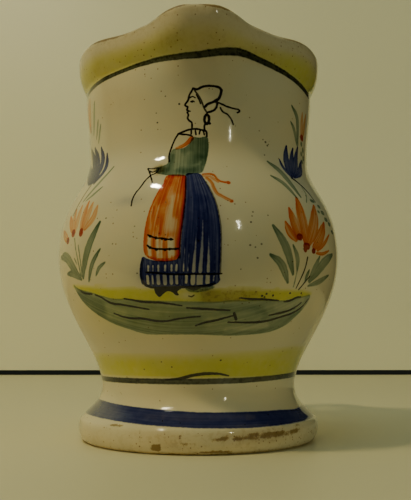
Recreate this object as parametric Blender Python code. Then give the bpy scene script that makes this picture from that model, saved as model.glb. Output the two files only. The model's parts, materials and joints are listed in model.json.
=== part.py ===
"""A tin-glazed earthenware jug: a round-bellied pot on a spreading foot, with a straight
neck, a turned-out collar, a pulled pouring lip at the front (-Y) and a strap handle at the
back (+Y). Everything is one fired piece. The origin is on the surface that the jug stands
on, under the middle of its bounding box."""

import math

import bmesh
import bpy
from mathutils import Vector

# Heights above the table and radii from the pot's own axis, in metres.
FOOT_RADIUS = 0.0480  # widest place of the foot
FOOT_EDGE_HEIGHT = 0.0055  # height of that place
FOOT_TOP_HEIGHT = 0.0092  # where the foot's edge turns in to its sloping top
FOOT_TOP_SETBACK = 0.0013  # how far that turn is inside the widest place
FOOT_CONTACT_SETBACK = 0.0030  # the same for the flat ring that touches the table
RECESS_RADIUS = 0.0370  # hollow under the foot
RECESS_DEPTH = 0.0070
RECESS_CORNER = ((0.90, 1.00), (0.97, 0.85))  # shares of its radius and its depth
WAIST_RADIUS = 0.0391
WAIST_HEIGHT = 0.0208
BELLY_RADIUS = 0.0575
BELLY_HEIGHT = 0.0730
NECK_RADIUS = 0.0458
NECK_HEIGHT = 0.1120
COLLAR_RADIUS = 0.0477  # crease where the collar starts to turn out
RIM_RADIUS = 0.0512  # outside of the lip
RIM_HEIGHT = 0.1560  # top of the lip, away from the spout
COLLAR_DEPTH = 0.0143  # from the top of the lip down to the crease
COLLAR_HEIGHT = RIM_HEIGHT - COLLAR_DEPTH

# How far each stretch of the outside keeps the direction it has at its lower and its upper
# end, as shares of the height between those ends.
INSTEP_PULLS = (0.33, 0.50)  # foot to waist
INSTEP_LEAN = 0.45
FLANK_PULLS = (0.27, 0.45)  # waist to belly
SHOULDER_PULLS = (0.56, 0.32)  # belly to neck
THROAT_PULLS = (0.40, 0.40)  # neck to crease
COLLAR_PULLS = (0.30, 0.50)  # crease to lip
COLLAR_LEAN = 0.5  # outward slope of the collar just above its crease

# Rounding of the foot's edge: how far the curve runs on at each of its corners.
CONTACT_ROUND = 0.0015
EDGE_ROUND_BELOW = 0.0030
EDGE_ROUND_ABOVE = 0.0020
FOOT_TOP_ROUND = 0.0009

WALL = 0.0045
FLOOR_HEIGHT = 0.0130  # inside floor
FLOOR_FILLET = 0.0090
FILLET_MARGIN = 0.0030  # height over the fillet where the inner wall starts

# The pouring lip, pulled out and up from the collar, with the wall nipped in beside it.
SPOUT_REACH = 0.0064
SPOUT_RISE = 0.0017
SPOUT_TIP_ANGLE = math.radians(4.5)  # half of the part that is pulled all the way
SPOUT_HALF_ANGLE = math.radians(24.5)
SPOUT_ROOT_DEPTH = 0.0290  # how far below the rim the wall starts to lean out
NIP_DEPTH = 0.0019
NIP_DIP = 0.0016
NIP_ANGLE = math.radians(36.0)
NIP_SPREAD = math.radians(15.0)

# The strap handle, in the plane through the spout.
HANDLE_TOP_DROP = 0.0067  # from the crease down to the middle of its upper end
HANDLE_FOOT_RISE = 0.0070  # from the belly's widest place up to that of its lower end
HANDLE_REACH = 0.0830  # from the pot's axis to the middle of the strap
HANDLE_WIDTH = 0.0170
HANDLE_THICKNESS = 0.0085
HANDLE_SINK = 0.0022  # how deep its ends are pressed into the wall
HANDLE_TOP_FLARE = 0.45  # how much wider the strap gets where it is pressed on
HANDLE_FOOT_FLARE = 0.55
HANDLE_TOP_FLARE_SHARE = 0.22  # share of the strap's length that widens
HANDLE_FOOT_FLARE_SHARE = 0.26
HANDLE_THICK_FLARE = 0.8  # how much of the widening its thickness gets

# The strap's two curves, as shares of its span from the wall and its drop from end to end.
BEND_HEIGHT = 0.60  # widest place of the strap, above its lower end
TOP_PULL = (0.48, 0.17)
FOOT_PULL = (0.42, 0.09)
BEND_PULLS = (0.46, 0.32)  # above and below the bend

GLAZE_COLOUR = (0.74, 0.66, 0.55, 1.0)
GLAZE_ROUGHNESS = 0.16

SEGMENTS = 60  # round the pot
STRAP_SIDES = 14
STRAP_STEPS = (11, 10)  # along its upper and its lower curve
FOOT_STEPS = (4, 3)  # below and above the foot's widest place
INSTEP_STEPS = 5
WALL_STEPS = (9, 9, 4, 5)  # flank, shoulder, throat, collar
LIP_STEPS = 6
FILLET_STEPS = 4
WELD = 0.00001
SHARP_ANGLE = math.radians(35.0)


def bezier(points, count):
    """Points along a cubic curve, without its first one."""
    start, pull_a, pull_b, end = points
    found = []
    for i in range(1, count + 1):
        t = i / count
        u = 1 - t
        found.append(
            u**3 * start + 3 * u * u * t * pull_a + 3 * u * t * t * pull_b + t**3 * end
        )
    return found


def arc(centre, radius, start, end, count):
    """Points on a circular arc, both ends in, with angles from the +radius direction."""
    return [
        centre + radius * Vector((math.cos(a), math.sin(a)))
        for a in (start + (end - start) * i / count for i in range(count + 1))
    ]


def smooth_step(t):
    t = min(1.0, max(0.0, t))
    return t * t * (3 - 2 * t)


def rising_curve(low, high, pulls, count):
    """A curve that leaves and arrives upright, without its first point."""
    height = (high.y - low.y) * Vector((0.0, 1.0))
    return bezier([low, low + pulls[0] * height, high - pulls[1] * height, high], count)


def wall_outline():
    """(radius, height) up the outside of the pot, from its waist to the lip's outer edge."""
    waist = Vector((WAIST_RADIUS, WAIST_HEIGHT))
    belly = Vector((BELLY_RADIUS, BELLY_HEIGHT))
    neck = Vector((NECK_RADIUS, NECK_HEIGHT))
    crease = Vector((COLLAR_RADIUS, COLLAR_HEIGHT))
    lip = Vector((RIM_RADIUS, RIM_HEIGHT - WALL / 2))
    flank_steps, shoulder_steps, throat_steps, collar_steps = WALL_STEPS
    outline = [waist]
    outline += rising_curve(waist, belly, FLANK_PULLS, flank_steps)
    outline += rising_curve(belly, neck, SHOULDER_PULLS, shoulder_steps)
    outline += rising_curve(neck, crease, THROAT_PULLS, throat_steps)
    collar = lip.y - crease.y
    lean = Vector((COLLAR_LEAN, 1.0)) * collar * COLLAR_PULLS[0]
    upright = Vector((0.0, collar * COLLAR_PULLS[1]))
    outline += bezier([crease, crease + lean, lip - upright, lip], collar_steps)
    return outline


def inward(outline, distance):
    """The outline moved towards the pot's axis, square to itself."""
    moved = []
    for i, point in enumerate(outline):
        along = outline[min(i + 1, len(outline) - 1)] - outline[max(i - 1, 0)]
        moved.append(point + distance * Vector((-along.y, along.x)).normalized())
    return moved


def foot_outline(waist):
    """From the table, round the foot's edge and up its sloping top to the waist."""
    contact = Vector((FOOT_RADIUS - FOOT_CONTACT_SETBACK, 0.0))
    edge = Vector((FOOT_RADIUS, FOOT_EDGE_HEIGHT))
    top = Vector((FOOT_RADIUS - FOOT_TOP_SETBACK, FOOT_TOP_HEIGHT))
    out = Vector((1.0, 0.0))
    up = Vector((0.0, 1.0))
    below, above = FOOT_STEPS
    outline = [contact]
    outline += bezier(
        [contact, contact + CONTACT_ROUND * out, edge - EDGE_ROUND_BELOW * up, edge], below
    )
    outline += bezier([edge, edge + EDGE_ROUND_ABOVE * up, top + FOOT_TOP_ROUND * out, top], above)
    slope = waist - top
    pull = Vector((slope.x * INSTEP_LEAN, slope.y * INSTEP_PULLS[0]))
    arrival = waist - INSTEP_PULLS[1] * slope.y * up
    outline += bezier([top, top + pull, arrival, waist], INSTEP_STEPS)
    return outline


def pot_profile():
    """The whole closed section, from the middle of the underside, round the foot, up the
    outside, over the lip and down the inside to the middle of the floor."""
    wall = wall_outline()
    profile = [Vector((0.0, RECESS_DEPTH))]
    profile += [Vector((RECESS_RADIUS * r, RECESS_DEPTH * d)) for r, d in RECESS_CORNER]
    profile.append(Vector((RECESS_RADIUS, 0.0)))
    profile += foot_outline(wall[0])
    profile += wall[1:]
    lip_centre = Vector((RIM_RADIUS - WALL / 2, RIM_HEIGHT - WALL / 2))
    profile += arc(lip_centre, WALL / 2, 0.0, math.pi, LIP_STEPS)[1:-1]
    corner = FLOOR_HEIGHT + FLOOR_FILLET
    inside = [p for p in reversed(inward(wall, WALL)) if p.y > corner + FILLET_MARGIN]
    profile += [p for i, p in enumerate(inside) if i % 2 == 0 or p.y > COLLAR_HEIGHT]
    fillet_centre = Vector((WAIST_RADIUS - WALL - FLOOR_FILLET, corner))
    profile += arc(fillet_centre, FLOOR_FILLET, 0.0, -math.pi / 2, FILLET_STEPS)
    profile.append(Vector((0.0, FLOOR_HEIGHT)))
    return profile


def pull_spout(radius, height, azimuth):
    """Where a point of the turned pot ends up once the lip is pulled. Azimuth 0 is the
    spout's own direction."""
    grip = smooth_step((height - (RIM_HEIGHT - SPOUT_ROOT_DEPTH)) / SPOUT_ROOT_DEPTH)
    turn = abs(azimuth)
    pulled = smooth_step((SPOUT_HALF_ANGLE - turn) / (SPOUT_HALF_ANGLE - SPOUT_TIP_ANGLE))
    nipped = math.exp(-(((turn - NIP_ANGLE) / NIP_SPREAD) ** 2))
    reach = SPOUT_REACH * pulled * grip - NIP_DEPTH * nipped * grip
    rise = (SPOUT_RISE * pulled - NIP_DIP * nipped) * grip**3
    return radius + reach, height + rise


def make_pot():
    """Turns the section round the axis, closes it and pulls the lip."""
    mesh = bpy.data.meshes.new("jug")
    bm = bmesh.new()
    corners = [bm.verts.new((0.0, -p.x, p.y)) for p in pot_profile()]
    edges = [bm.edges.new(pair) for pair in zip(corners, corners[1:])]
    bmesh.ops.spin(
        bm,
        geom=corners + edges,
        cent=(0.0, 0.0, 0.0),
        axis=(0.0, 0.0, 1.0),
        angle=math.tau,
        steps=SEGMENTS,
    )
    bmesh.ops.remove_doubles(bm, verts=bm.verts, dist=WELD)
    for v in bm.verts:
        radius = math.hypot(v.co.x, v.co.y)
        azimuth = math.atan2(v.co.x, -v.co.y)
        radius, height = pull_spout(radius, v.co.z, azimuth)
        v.co = (radius * math.sin(azimuth), -radius * math.cos(azimuth), height)
    bmesh.ops.recalc_face_normals(bm, faces=bm.faces)
    bm.to_mesh(mesh)
    bm.free()
    pot = bpy.data.objects.new("jug", mesh)
    bpy.context.scene.collection.objects.link(pot)
    return pot


def wall_radius(height):
    """Outside radius of the turned wall at a height."""
    outline = wall_outline()
    for low, high in zip(outline, outline[1:]):
        if low.y <= height <= high.y:
            share = (height - low.y) / (high.y - low.y)
            return low.x + share * (high.x - low.x)
    raise ValueError(f"the wall has no point at height {height}")


def handle_path():
    """(distance behind the axis, height) along the middle of the strap, top end first."""
    top_height = COLLAR_HEIGHT - HANDLE_TOP_DROP
    foot_height = BELLY_HEIGHT + HANDLE_FOOT_RISE
    top = Vector((wall_radius(top_height) - HANDLE_SINK, top_height))
    foot = Vector((wall_radius(foot_height) - HANDLE_SINK, foot_height))
    drop = top.y - foot.y
    bend = Vector((HANDLE_REACH, foot.y + BEND_HEIGHT * drop))
    span = bend.x - top.x
    top_pull = top + Vector((TOP_PULL[0] * span, TOP_PULL[1] * drop))
    foot_pull = foot + Vector((FOOT_PULL[0] * span, FOOT_PULL[1] * drop))
    over_bend = bend + Vector((0.0, BEND_PULLS[0] * drop))
    under_bend = bend - Vector((0.0, BEND_PULLS[1] * drop))
    upper, lower = STRAP_STEPS
    path = [top]
    path += bezier([top, top_pull, over_bend, bend], upper)
    path += bezier([bend, under_bend, foot_pull, foot], lower)
    return path


def make_handle():
    """A strap with an oval section that spreads where it is pressed on the wall."""
    path = handle_path()
    last = len(path) - 1
    mesh = bpy.data.meshes.new("handle")
    bm = bmesh.new()
    rings = []
    for i, point in enumerate(path):
        along = (path[min(i + 1, last)] - path[max(i - 1, 0)]).normalized()
        across = Vector((-along.y, along.x))
        share = i / last
        top_flare = HANDLE_TOP_FLARE * smooth_step(1 - share / HANDLE_TOP_FLARE_SHARE)
        foot_flare = HANDLE_FOOT_FLARE * smooth_step(1 - (1 - share) / HANDLE_FOOT_FLARE_SHARE)
        flare = top_flare + foot_flare
        half_width = HANDLE_WIDTH / 2 * (1 + flare)
        half_depth = HANDLE_THICKNESS / 2 * (1 + HANDLE_THICK_FLARE * flare)
        ring = []
        for k in range(STRAP_SIDES):
            a = math.tau * k / STRAP_SIDES
            side = half_width * math.sin(a)
            level = point + half_depth * math.cos(a) * across
            ring.append(bm.verts.new((side, level.x, level.y)))
        rings.append(ring)
    loops = [[bm.edges.new((a, b)) for a, b in zip(ring, ring[1:] + ring[:1])] for ring in rings]
    for near, far in zip(loops, loops[1:]):
        bmesh.ops.bridge_loops(bm, edges=near + far)
    bm.faces.new(rings[0])
    bm.faces.new(rings[-1])
    bmesh.ops.recalc_face_normals(bm, faces=bm.faces)
    bm.to_mesh(mesh)
    bm.free()
    handle = bpy.data.objects.new("handle_cutter", mesh)
    bpy.context.scene.collection.objects.link(handle)
    return handle


def glaze():
    material = bpy.data.materials.new("tin_glaze")
    material.use_nodes = True
    shader = material.node_tree.nodes["Principled BSDF"]
    shader.inputs["Base Color"].default_value = GLAZE_COLOUR
    shader.inputs["Roughness"].default_value = GLAZE_ROUGHNESS
    shader.inputs["Metallic"].default_value = 0.0
    return material


def join_handle(pot, handle):
    """Fuses the strap to the pot, and leaves one closed solid."""
    union = pot.modifiers.new("pressed_on", "BOOLEAN")
    union.operation = "UNION"
    union.solver = "EXACT"
    union.object = handle
    bpy.context.view_layer.update()
    joined = bpy.data.meshes.new_from_object(
        pot.evaluated_get(bpy.context.evaluated_depsgraph_get())
    )
    pot.modifiers.remove(union)
    pot.data = joined
    bpy.data.objects.remove(handle)


def settle_origin(pot):
    """Moves the jug so that the origin is under the middle of its bounding box."""
    depths = [v.co.y for v in pot.data.vertices]
    shift = -(min(depths) + max(depths)) / 2
    for v in pot.data.vertices:
        v.co.y += shift


def main():
    for old in list(bpy.data.objects):
        bpy.data.objects.remove(old, do_unlink=True)
    pot = make_pot()
    join_handle(pot, make_handle())
    settle_origin(pot)
    pot.data.materials.clear()
    pot.data.materials.append(glaze())
    pot.data.shade_smooth()
    pot.data.set_sharp_from_angle(angle=SHARP_ANGLE)


main()
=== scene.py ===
"""The looks of a painted, tin-glazed earthenware jug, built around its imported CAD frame.

The pot is thrown by spinning its section, its lip is pulled and its handle pressed on. Each
brush stroke of the painting is laid on the mesh as a distance to the stroke's edge, which the
glaze's material turns into pigment. The mesh is finer where there is painting."""

import json
import math

import bpy
import numpy as np
from bpy.props import FloatProperty, FloatVectorProperty, IntProperty, PointerProperty
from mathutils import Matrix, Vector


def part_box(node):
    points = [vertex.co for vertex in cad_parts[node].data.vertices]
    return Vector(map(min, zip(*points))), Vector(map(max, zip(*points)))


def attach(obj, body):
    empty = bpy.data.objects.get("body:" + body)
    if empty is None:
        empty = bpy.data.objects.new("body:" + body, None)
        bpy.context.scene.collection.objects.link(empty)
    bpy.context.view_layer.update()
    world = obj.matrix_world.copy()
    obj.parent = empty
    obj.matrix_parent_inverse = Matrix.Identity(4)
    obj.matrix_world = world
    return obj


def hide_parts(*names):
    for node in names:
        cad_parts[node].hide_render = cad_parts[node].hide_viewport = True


bl_info = {
    "name": "Painted earthenware jug",
    "version": (1, 0, 0),
    "blender": (4, 5, 0),
    "location": "View3D > Sidebar > Jug",
    "description": "Throws, paints and glazes a jug around its CAD frame",
    "category": "Object",
}

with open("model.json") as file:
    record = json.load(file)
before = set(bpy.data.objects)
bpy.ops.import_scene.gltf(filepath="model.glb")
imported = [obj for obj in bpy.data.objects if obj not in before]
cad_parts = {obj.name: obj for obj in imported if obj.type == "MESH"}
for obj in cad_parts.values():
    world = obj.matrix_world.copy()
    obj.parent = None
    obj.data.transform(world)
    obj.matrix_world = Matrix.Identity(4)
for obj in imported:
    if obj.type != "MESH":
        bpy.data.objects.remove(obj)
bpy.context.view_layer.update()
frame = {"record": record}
LOW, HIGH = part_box("jug")
AXIS_Y = frame["record"]["mounts"][0]["pos_m"][1]  # the pot's own axis, from its foot's mount

MM = 0.001
RIM_HEIGHT = 156.0 * MM
HANDLE_THICKNESS = 8.5 * MM
IMAGE_HEIGHT = 500  # of the photograph, in pixels

# How far each stretch of the outside keeps the direction it has at its lower and its upper
# end, as shares of the height between those ends.
INSTEP_PULLS = (0.33, 0.50)
INSTEP_LEAN = 0.45
FLANK_PULLS = (0.27, 0.45)
SHOULDER_PULLS = (0.56, 0.32)
THROAT_PULLS = (0.40, 0.40)
COLLAR_PULLS = (0.30, 0.50)
COLLAR_LEAN = 0.5

# The foot: its edge's undercut, widest height and shoulder, and the ring and hollow below it.
FOOT_UNDERCUT = 3.0 * MM
FOOT_EDGE_HEIGHT = 5.5 * MM
FOOT_SHOULDER = 1.3 * MM
RING_WIDTH = 11.0 * MM
HOLLOW_DEPTH = 7.0 * MM

# The floor inside the pot, and the rounding where it meets the wall.
INNER_FLOOR = 13.0 * MM
INNER_FILLET = 9.0 * MM

# The pulled lip, with the wall nipped in on both sides of it.
TIP_ANGLE = math.radians(4.5)
LIP_ANGLE = math.radians(24.5)
LIP_ROOT = 29.0 * MM
NIP_ANGLE = math.radians(36.0)
NIP_SPREAD = math.radians(15.0)
NIP_DEPTH = 1.9 * MM
NIP_DIP = 1.6 * MM

# The strap handle. Its curve is given as shares of its span from the wall and its drop
# from end to end.
BEND_HEIGHT = 0.60
TOP_PULL = (0.48, 0.17)
FOOT_PULL = (0.42, 0.09)
BEND_PULLS = (0.46, 0.32)
HANDLE_TOP_DROP = 6.7 * MM  # of its upper end below the crease
HANDLE_FOOT_RISE = 7.0 * MM  # of its lower end above the belly's widest place
HANDLE_SINK = 2.2 * MM  # of both ends into the wall
HANDLE_FILLET = 3.2 * MM
HANDLE_HOLD = 7.0 * MM  # how far from the wall the strap still follows its curve
TOP_FLARE = (0.45, 0.22)  # how much wider the strap grows, and over what share of its length
FOOT_FLARE = (0.55, 0.26)
DASH_COUNT = 11

# The painting is laid out on a sheet wrapped round the pot: millimetres across, counted
# from under the lip at this radius, and millimetres up from the table.
SHEET_RADIUS = 50.0
SAMPLE = 0.35  # spacing of the points along a stroke
FAR = 4.0  # distances beyond this are all alike
PIGMENTS = ("ink", "cobalt", "iron", "red", "green")
BELTS = ("crease_line", "lower_line", "foot_band")
YELLOW, STAIN, BLUE = range(3)  # the thin washes, as channels of the veils
SPECKS, WORN, GRIME = range(3)  # the channels of the wear

# Heights of the two dark lines at places across.
CREASE_LINE = (
    (-157, 139.0), (-100, 138.8), (-55, 139.3), (-40, 140.0), (-25, 141.0), (-18, 141.2),
    (-8, 140.5), (0, 140.8), (5, 141.5), (15, 143.5), (19, 143.7), (30, 142.5), (40, 141.0),
    (50, 139.3), (58, 138.4), (100, 138.8),
)
LOWER_LINE = (
    (-157, 24.6), (-100, 24.3), (-55, 24.2), (-20, 24.4), (0, 24.5), (20, 24.7), (30, 25.0),
    (45, 25.4), (60, 25.8), (110, 25.2),
)

# How each pigment takes in the shader: its even part, the part the bristles streak, how far
# it spreads beyond the stroke and how soft its edge is, in millimetres.
BRUSHWORK = {
    "ink": (0.85, 0.0, 0.05, 0.13),
    "cobalt": (0.36, 0.58, 0.0, 0.20),
    "iron": (0.20, 0.95, 0.0, 0.26),
    "red": (0.45, 0.50, 0.0, 0.20),
    "green": (0.45, 0.40, 0.0, 0.26),
}

# Reach of each round of refining: a face is cut in four if paint's edge is this near.
REFINE = (1.6, 0.75, 0.31)
FINE_PIGMENTS = ("ink",)  # the last round is for these alone

# The stage, in metres: the floor, and the wall that stops just short of it.
STAGE_WIDTH = 6.0
FLOOR_BACK = 0.490
WALL_BACK = 0.492
WALL_LOW, WALL_TOP = 0.0052, 2.4

# Dark cards by their four corners. One stands at the right, and one lies before the jug.
CARDS = (
    ("side_card", ((0.30, -0.70, 0.0), (0.30, 0.42, 0.0), (0.30, 0.42, 0.9), (0.30, -0.70, 0.9))),
    ("front_card", ((-2, -2.5, 0.002), (2, -2.5, 0.002), (2, -0.15, 0.002), (-2, -0.15, 0.002))),
)

# Lamps: azimuth from the lip to the right and elevation in degrees, distance and size in
# metres, energy in watts and colour. The first light the jug, and the last show in its gloss.
LAMP_CENTRE = 0.08
LIGHTING_LAMPS = (
    ("key_lamp", -59.0, 55.0, 1.1, (0.13, 0.035), 4.6, (1.0, 0.86, 0.40)),
    ("ceiling", -42.0, 72.0, 1.7, (1.1, 1.1), 6.3, (0.48, 0.82, 1.0)),
    ("left_glow", -80.0, 12.0, 1.7, (0.8, 0.5), 4.7, (1.0, 0.86, 0.47)),
    ("front_glow", 0.0, 14.0, 1.7, (0.8, 0.5), 3.9, (1.0, 1.0, 0.57)),
    ("right_glow", 80.0, 12.0, 1.7, (0.8, 0.5), 3.2, (0.92, 1.0, 0.65)),
)
SHINING_LAMPS = (
    ("key_shine", -51.0, 55.5, 1.1, (0.13, 0.026), 4.4, (1.0, 0.92, 0.65)),
    ("side_shine", 31.0, 19.0, 1.1, (0.014, 0.14), 1.5, (1.0, 0.97, 0.70)),
)
ROOM_COLOUR, ROOM_STRENGTH = (0.88, 1.0, 0.70, 1.0), 0.01
SENSOR_WIDTH = 36.0  # of the camera, in millimetres
GLAZE_IOR = 1.52


def length(name, description, default):
    """A size that a user may change, in metres."""
    return FloatProperty(name=name, description=description, default=default, unit="LENGTH")


def angle(name, description, degrees):
    return FloatProperty(
        name=name, description=description, default=math.radians(degrees), subtype="ANGLE"
    )


class JugShape(bpy.types.PropertyGroup):
    foot_radius: length("Foot radius", "Widest place of the foot", 48.0 * MM)
    foot_height: length("Foot height", "Top of the foot's edge", 9.2 * MM)
    waist_radius: length("Waist radius", "Narrowest place above the foot", 39.1 * MM)
    waist_height: length("Waist height", "Height of that place", 20.8 * MM)
    belly_radius: length("Belly radius", "Widest place of the pot", (HIGH.x - LOW.x) / 2)
    belly_height: length("Belly height", "Height of that place", 73.0 * MM)
    neck_radius: length("Neck radius", "Narrowest place", 45.8 * MM)
    neck_height: length("Neck height", "Height of that place", 112.0 * MM)
    crease_radius: length("Crease radius", "Where the collar starts to turn out", 47.7 * MM)
    collar_depth: length("Collar depth", "From rim to crease", 14.3 * MM)
    rim_radius: length("Rim radius", "Outside of the rim", 51.2 * MM)
    rim_height: length("Rim height", "Top of the rim", RIM_HEIGHT)
    wall: length("Wall", "Thickness of the clay", 4.5 * MM)
    lip_reach: length("Lip reach", "How far the lip is pulled", 6.4 * MM)
    lip_rise: length("Lip rise", "How far the lip is raised", HIGH.z - RIM_HEIGHT)
    handle_reach: length(
        "Handle reach",
        "From the pot's axis to the middle of the strap",
        HIGH.y - AXIS_Y - HANDLE_THICKNESS / 2,
    )
    handle_width: length("Handle width", "Width of the strap", 17.0 * MM)
    handle_thickness: length("Handle thickness", "Of the strap", HANDLE_THICKNESS)
    steps: IntProperty(name="Steps", description="Facets round the pot", default=192, min=24)


def pigment_property(name, description, colour):
    """A colour that light keeps after one layer of the pigment."""
    return FloatVectorProperty(
        name=name, description=description, subtype="COLOR", size=3, min=0, max=1, default=colour
    )


class JugPaint(bpy.types.PropertyGroup):
    glaze: pigment_property("Glaze", "Tin glaze over the clay", (0.64, 0.57, 0.385))
    ink: pigment_property("Ink", "Black outline colour", (0.050, 0.047, 0.042))
    cobalt: pigment_property("Cobalt", "Blue", (0.130, 0.160, 0.445))
    iron: pigment_property("Iron", "Orange", (0.870, 0.265, 0.085))
    red: pigment_property("Red", "Brownish red", (0.450, 0.095, 0.060))
    green: pigment_property("Green", "Greyish green", (0.390, 0.490, 0.455))
    yellow: pigment_property("Yellow", "Greenish yellow", (0.765, 0.805, 0.105))
    clay: pigment_property("Clay", "Worn and stained clay", (0.510, 0.420, 0.240))
    grime: pigment_property("Grime", "Pinkish brown of handled places", (0.620, 0.520, 0.410))
    roughness: FloatProperty(
        name="Roughness", description="Of sound glaze", default=0.035, min=0, max=1
    )


class JugStage(bpy.types.PropertyGroup):
    floor: pigment_property("Floor", "Plain floor", (0.69, 0.615, 0.37))
    wall: pigment_property("Wall", "Plain wall behind", (0.88, 0.83, 0.57))
    camera_distance: length("Camera distance", "From it to the pot's axis", 288.0 * MM)
    camera_height: length("Camera height", "Above the floor", 39.1 * MM)
    tilt: angle("Tilt", "How far the camera looks up", 7.43)
    turn: angle("Turn", "How far the camera looks to the right", 0.577)
    focal_pixels: FloatProperty(
        name="Focal length", description="In pixels of the photograph", default=690.0
    )


def smooth_step(t):
    t = np.clip(t, 0.0, 1.0)
    return t * t * (3 - 2 * t)


def bezier(points, steps):
    """Points along a cubic curve, without its first one."""
    start, pull_a, pull_b, end = (np.asarray(p, float) for p in points)
    t = np.arange(1, steps + 1)[:, None] / steps
    u = 1 - t
    return u**3 * start + 3 * u * u * t * pull_a + 3 * u * t * t * pull_b + t**3 * end


def rising_curve(low, high, pulls, steps):
    """A curve that leaves and arrives upright, without its first point."""
    low, high = np.asarray(low), np.asarray(high)
    height = np.array((0.0, high[1] - low[1]))
    return bezier((low, low + pulls[0] * height, high - pulls[1] * height, high), steps)


def wall_outline(shape, steps):
    """(radius, height) from the waist up the outside to the lip's outer edge."""
    waist = (shape.waist_radius, shape.waist_height)
    belly = (shape.belly_radius, shape.belly_height)
    neck = (shape.neck_radius, shape.neck_height)
    crease = (shape.crease_radius, shape.rim_height - shape.collar_depth)
    lip = (shape.rim_radius, shape.rim_height - shape.wall / 2)
    flank_steps, shoulder_steps, throat_steps, collar_steps = steps
    collar = lip[1] - crease[1]
    lean = np.array((COLLAR_LEAN, 1.0)) * collar * COLLAR_PULLS[0]
    upright = np.array((0.0, collar * COLLAR_PULLS[1]))
    return np.vstack(
        (
            [waist],
            rising_curve(waist, belly, FLANK_PULLS, flank_steps),
            rising_curve(belly, neck, SHOULDER_PULLS, shoulder_steps),
            rising_curve(neck, crease, THROAT_PULLS, throat_steps),
            bezier((crease, crease + lean, lip - upright, lip), collar_steps),
        )
    )


def foot_outline(shape, steps):
    """From the table, round the foot's edge and up its top to just before the waist."""
    edge_steps, top_steps, instep_steps = steps
    contact = np.array((shape.foot_radius - FOOT_UNDERCUT, 0.0))
    edge = np.array((shape.foot_radius, FOOT_EDGE_HEIGHT))
    top = np.array((shape.foot_radius - FOOT_SHOULDER, shape.foot_height))
    waist = np.array((shape.waist_radius, shape.waist_height))
    out, up = np.array((MM, 0.0)), np.array((0.0, MM))
    slope = waist - top
    leave = top + np.array((slope[0] * INSTEP_LEAN, slope[1] * INSTEP_PULLS[0]))
    arrive = waist - np.array((0.0, slope[1] * INSTEP_PULLS[1]))
    return np.vstack(
        (
            [contact],
            bezier((contact, contact + 1.5 * out, edge - 3.0 * up, edge), edge_steps),
            bezier((edge, edge + 2.0 * up, top + 0.9 * out, top), top_steps),
            bezier((top, leave, arrive, waist), instep_steps)[:-1],
        )
    )


def inward(outline, distance):
    """The outline moved towards the axis, square to itself."""
    along = np.gradient(outline, axis=0)
    square = np.stack((-along[:, 1], along[:, 0]), axis=1)
    return outline + distance * square / np.linalg.norm(square, axis=1)[:, None]


def pot_section(shape):
    """The whole section: underside, foot, outside, lip, inside and floor."""
    wall = wall_outline(shape, (38, 31, 22, 12))
    recess, hollow = shape.foot_radius - RING_WIDTH, HOLLOW_DEPTH
    underside = [(0.0, hollow), (recess * 0.5, hollow), (recess * 0.90, hollow)]
    underside += [(recess * 0.955, hollow * 0.93), (recess * 0.985, hollow * 0.70)]
    underside += [(recess, hollow * 0.3), (recess + 0.4 * MM, 0.25 * MM), (recess + 1.0 * MM, 0.0)]
    half = shape.wall / 2
    turns = np.linspace(0, math.pi, 10)[1:-1]
    lip = np.stack(
        (
            shape.rim_radius - half + half * np.cos(turns),
            shape.rim_height - half + half * np.sin(turns),
        ),
        axis=1,
    )
    fillet, floor = INNER_FILLET, INNER_FLOOR
    inside = inward(wall_outline(shape, (9, 8, 6, 6)), shape.wall)[::-1]
    inside = inside[inside[:, 1] > floor + fillet + 3.0 * MM]
    corner = shape.waist_radius - shape.wall - fillet
    bend = np.linspace(0, -math.pi / 2, 7)
    floor_corner = np.stack(
        (corner + fillet * np.cos(bend), floor + fillet + fillet * np.sin(bend)), axis=1
    )
    middle = [(corner * 0.5, floor), (0.0, floor)]
    parts = (underside, foot_outline(shape, (7, 5, 10)), wall, lip, inside, floor_corner, middle)
    return np.vstack(parts)


def pull_lip(shape, radius, height, azimuth):
    """Where points of the turned pot go once the lip is pulled. Azimuth 0 faces the lip."""
    grip = smooth_step((height - (shape.rim_height - LIP_ROOT)) / LIP_ROOT)
    turn = np.abs(azimuth)
    pulled = smooth_step((LIP_ANGLE - turn) / (LIP_ANGLE - TIP_ANGLE))
    nipped = np.exp(-(((turn - NIP_ANGLE) / NIP_SPREAD) ** 2))
    reach = (shape.lip_reach * pulled - NIP_DEPTH * nipped) * grip
    rise = (shape.lip_rise * pulled - NIP_DIP * nipped) * grip**3
    return radius + reach, height + rise


class Wall:
    """The outside of the pot, as a radius for every height."""

    def __init__(self, shape):
        self.shape = shape
        foot = foot_outline(shape, (40, 30, 60))
        outline = np.vstack((foot, wall_outline(shape, (160, 140, 90, 60))))
        self.heights, self.radii = outline[:, 1], outline[:, 0]

    def radius(self, height):
        return np.interp(height, self.heights, self.radii)

    def place(self, across, up):
        """Points in space, in millimetres, of a place on the painting's sheet."""
        azimuth = np.asarray(across, float) / SHEET_RADIUS
        height = np.asarray(up, float) * MM
        radius, height = pull_lip(self.shape, self.radius(height), height, azimuth)
        x, y = radius * np.sin(azimuth), AXIS_Y - radius * np.cos(azimuth)
        return np.stack((x, y, height), axis=-1) / MM


def vertex_places(piece):
    """A piece's vertices as an array, in millimetres."""
    places = np.empty(len(piece.data.vertices) * 3)
    piece.data.vertices.foreach_get("co", places)
    return places.reshape(-1, 3) / MM


def set_places(piece, places):
    piece.data.vertices.foreach_set("co", (places * MM).ravel())
    piece.data.update()


def polar(places):
    """(radius, azimuth) of points round the pot's axis, in millimetres and radians."""
    x, y = places[:, 0], places[:, 1] - AXIS_Y / MM
    return np.hypot(x, y), np.arctan2(x, -y)


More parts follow.
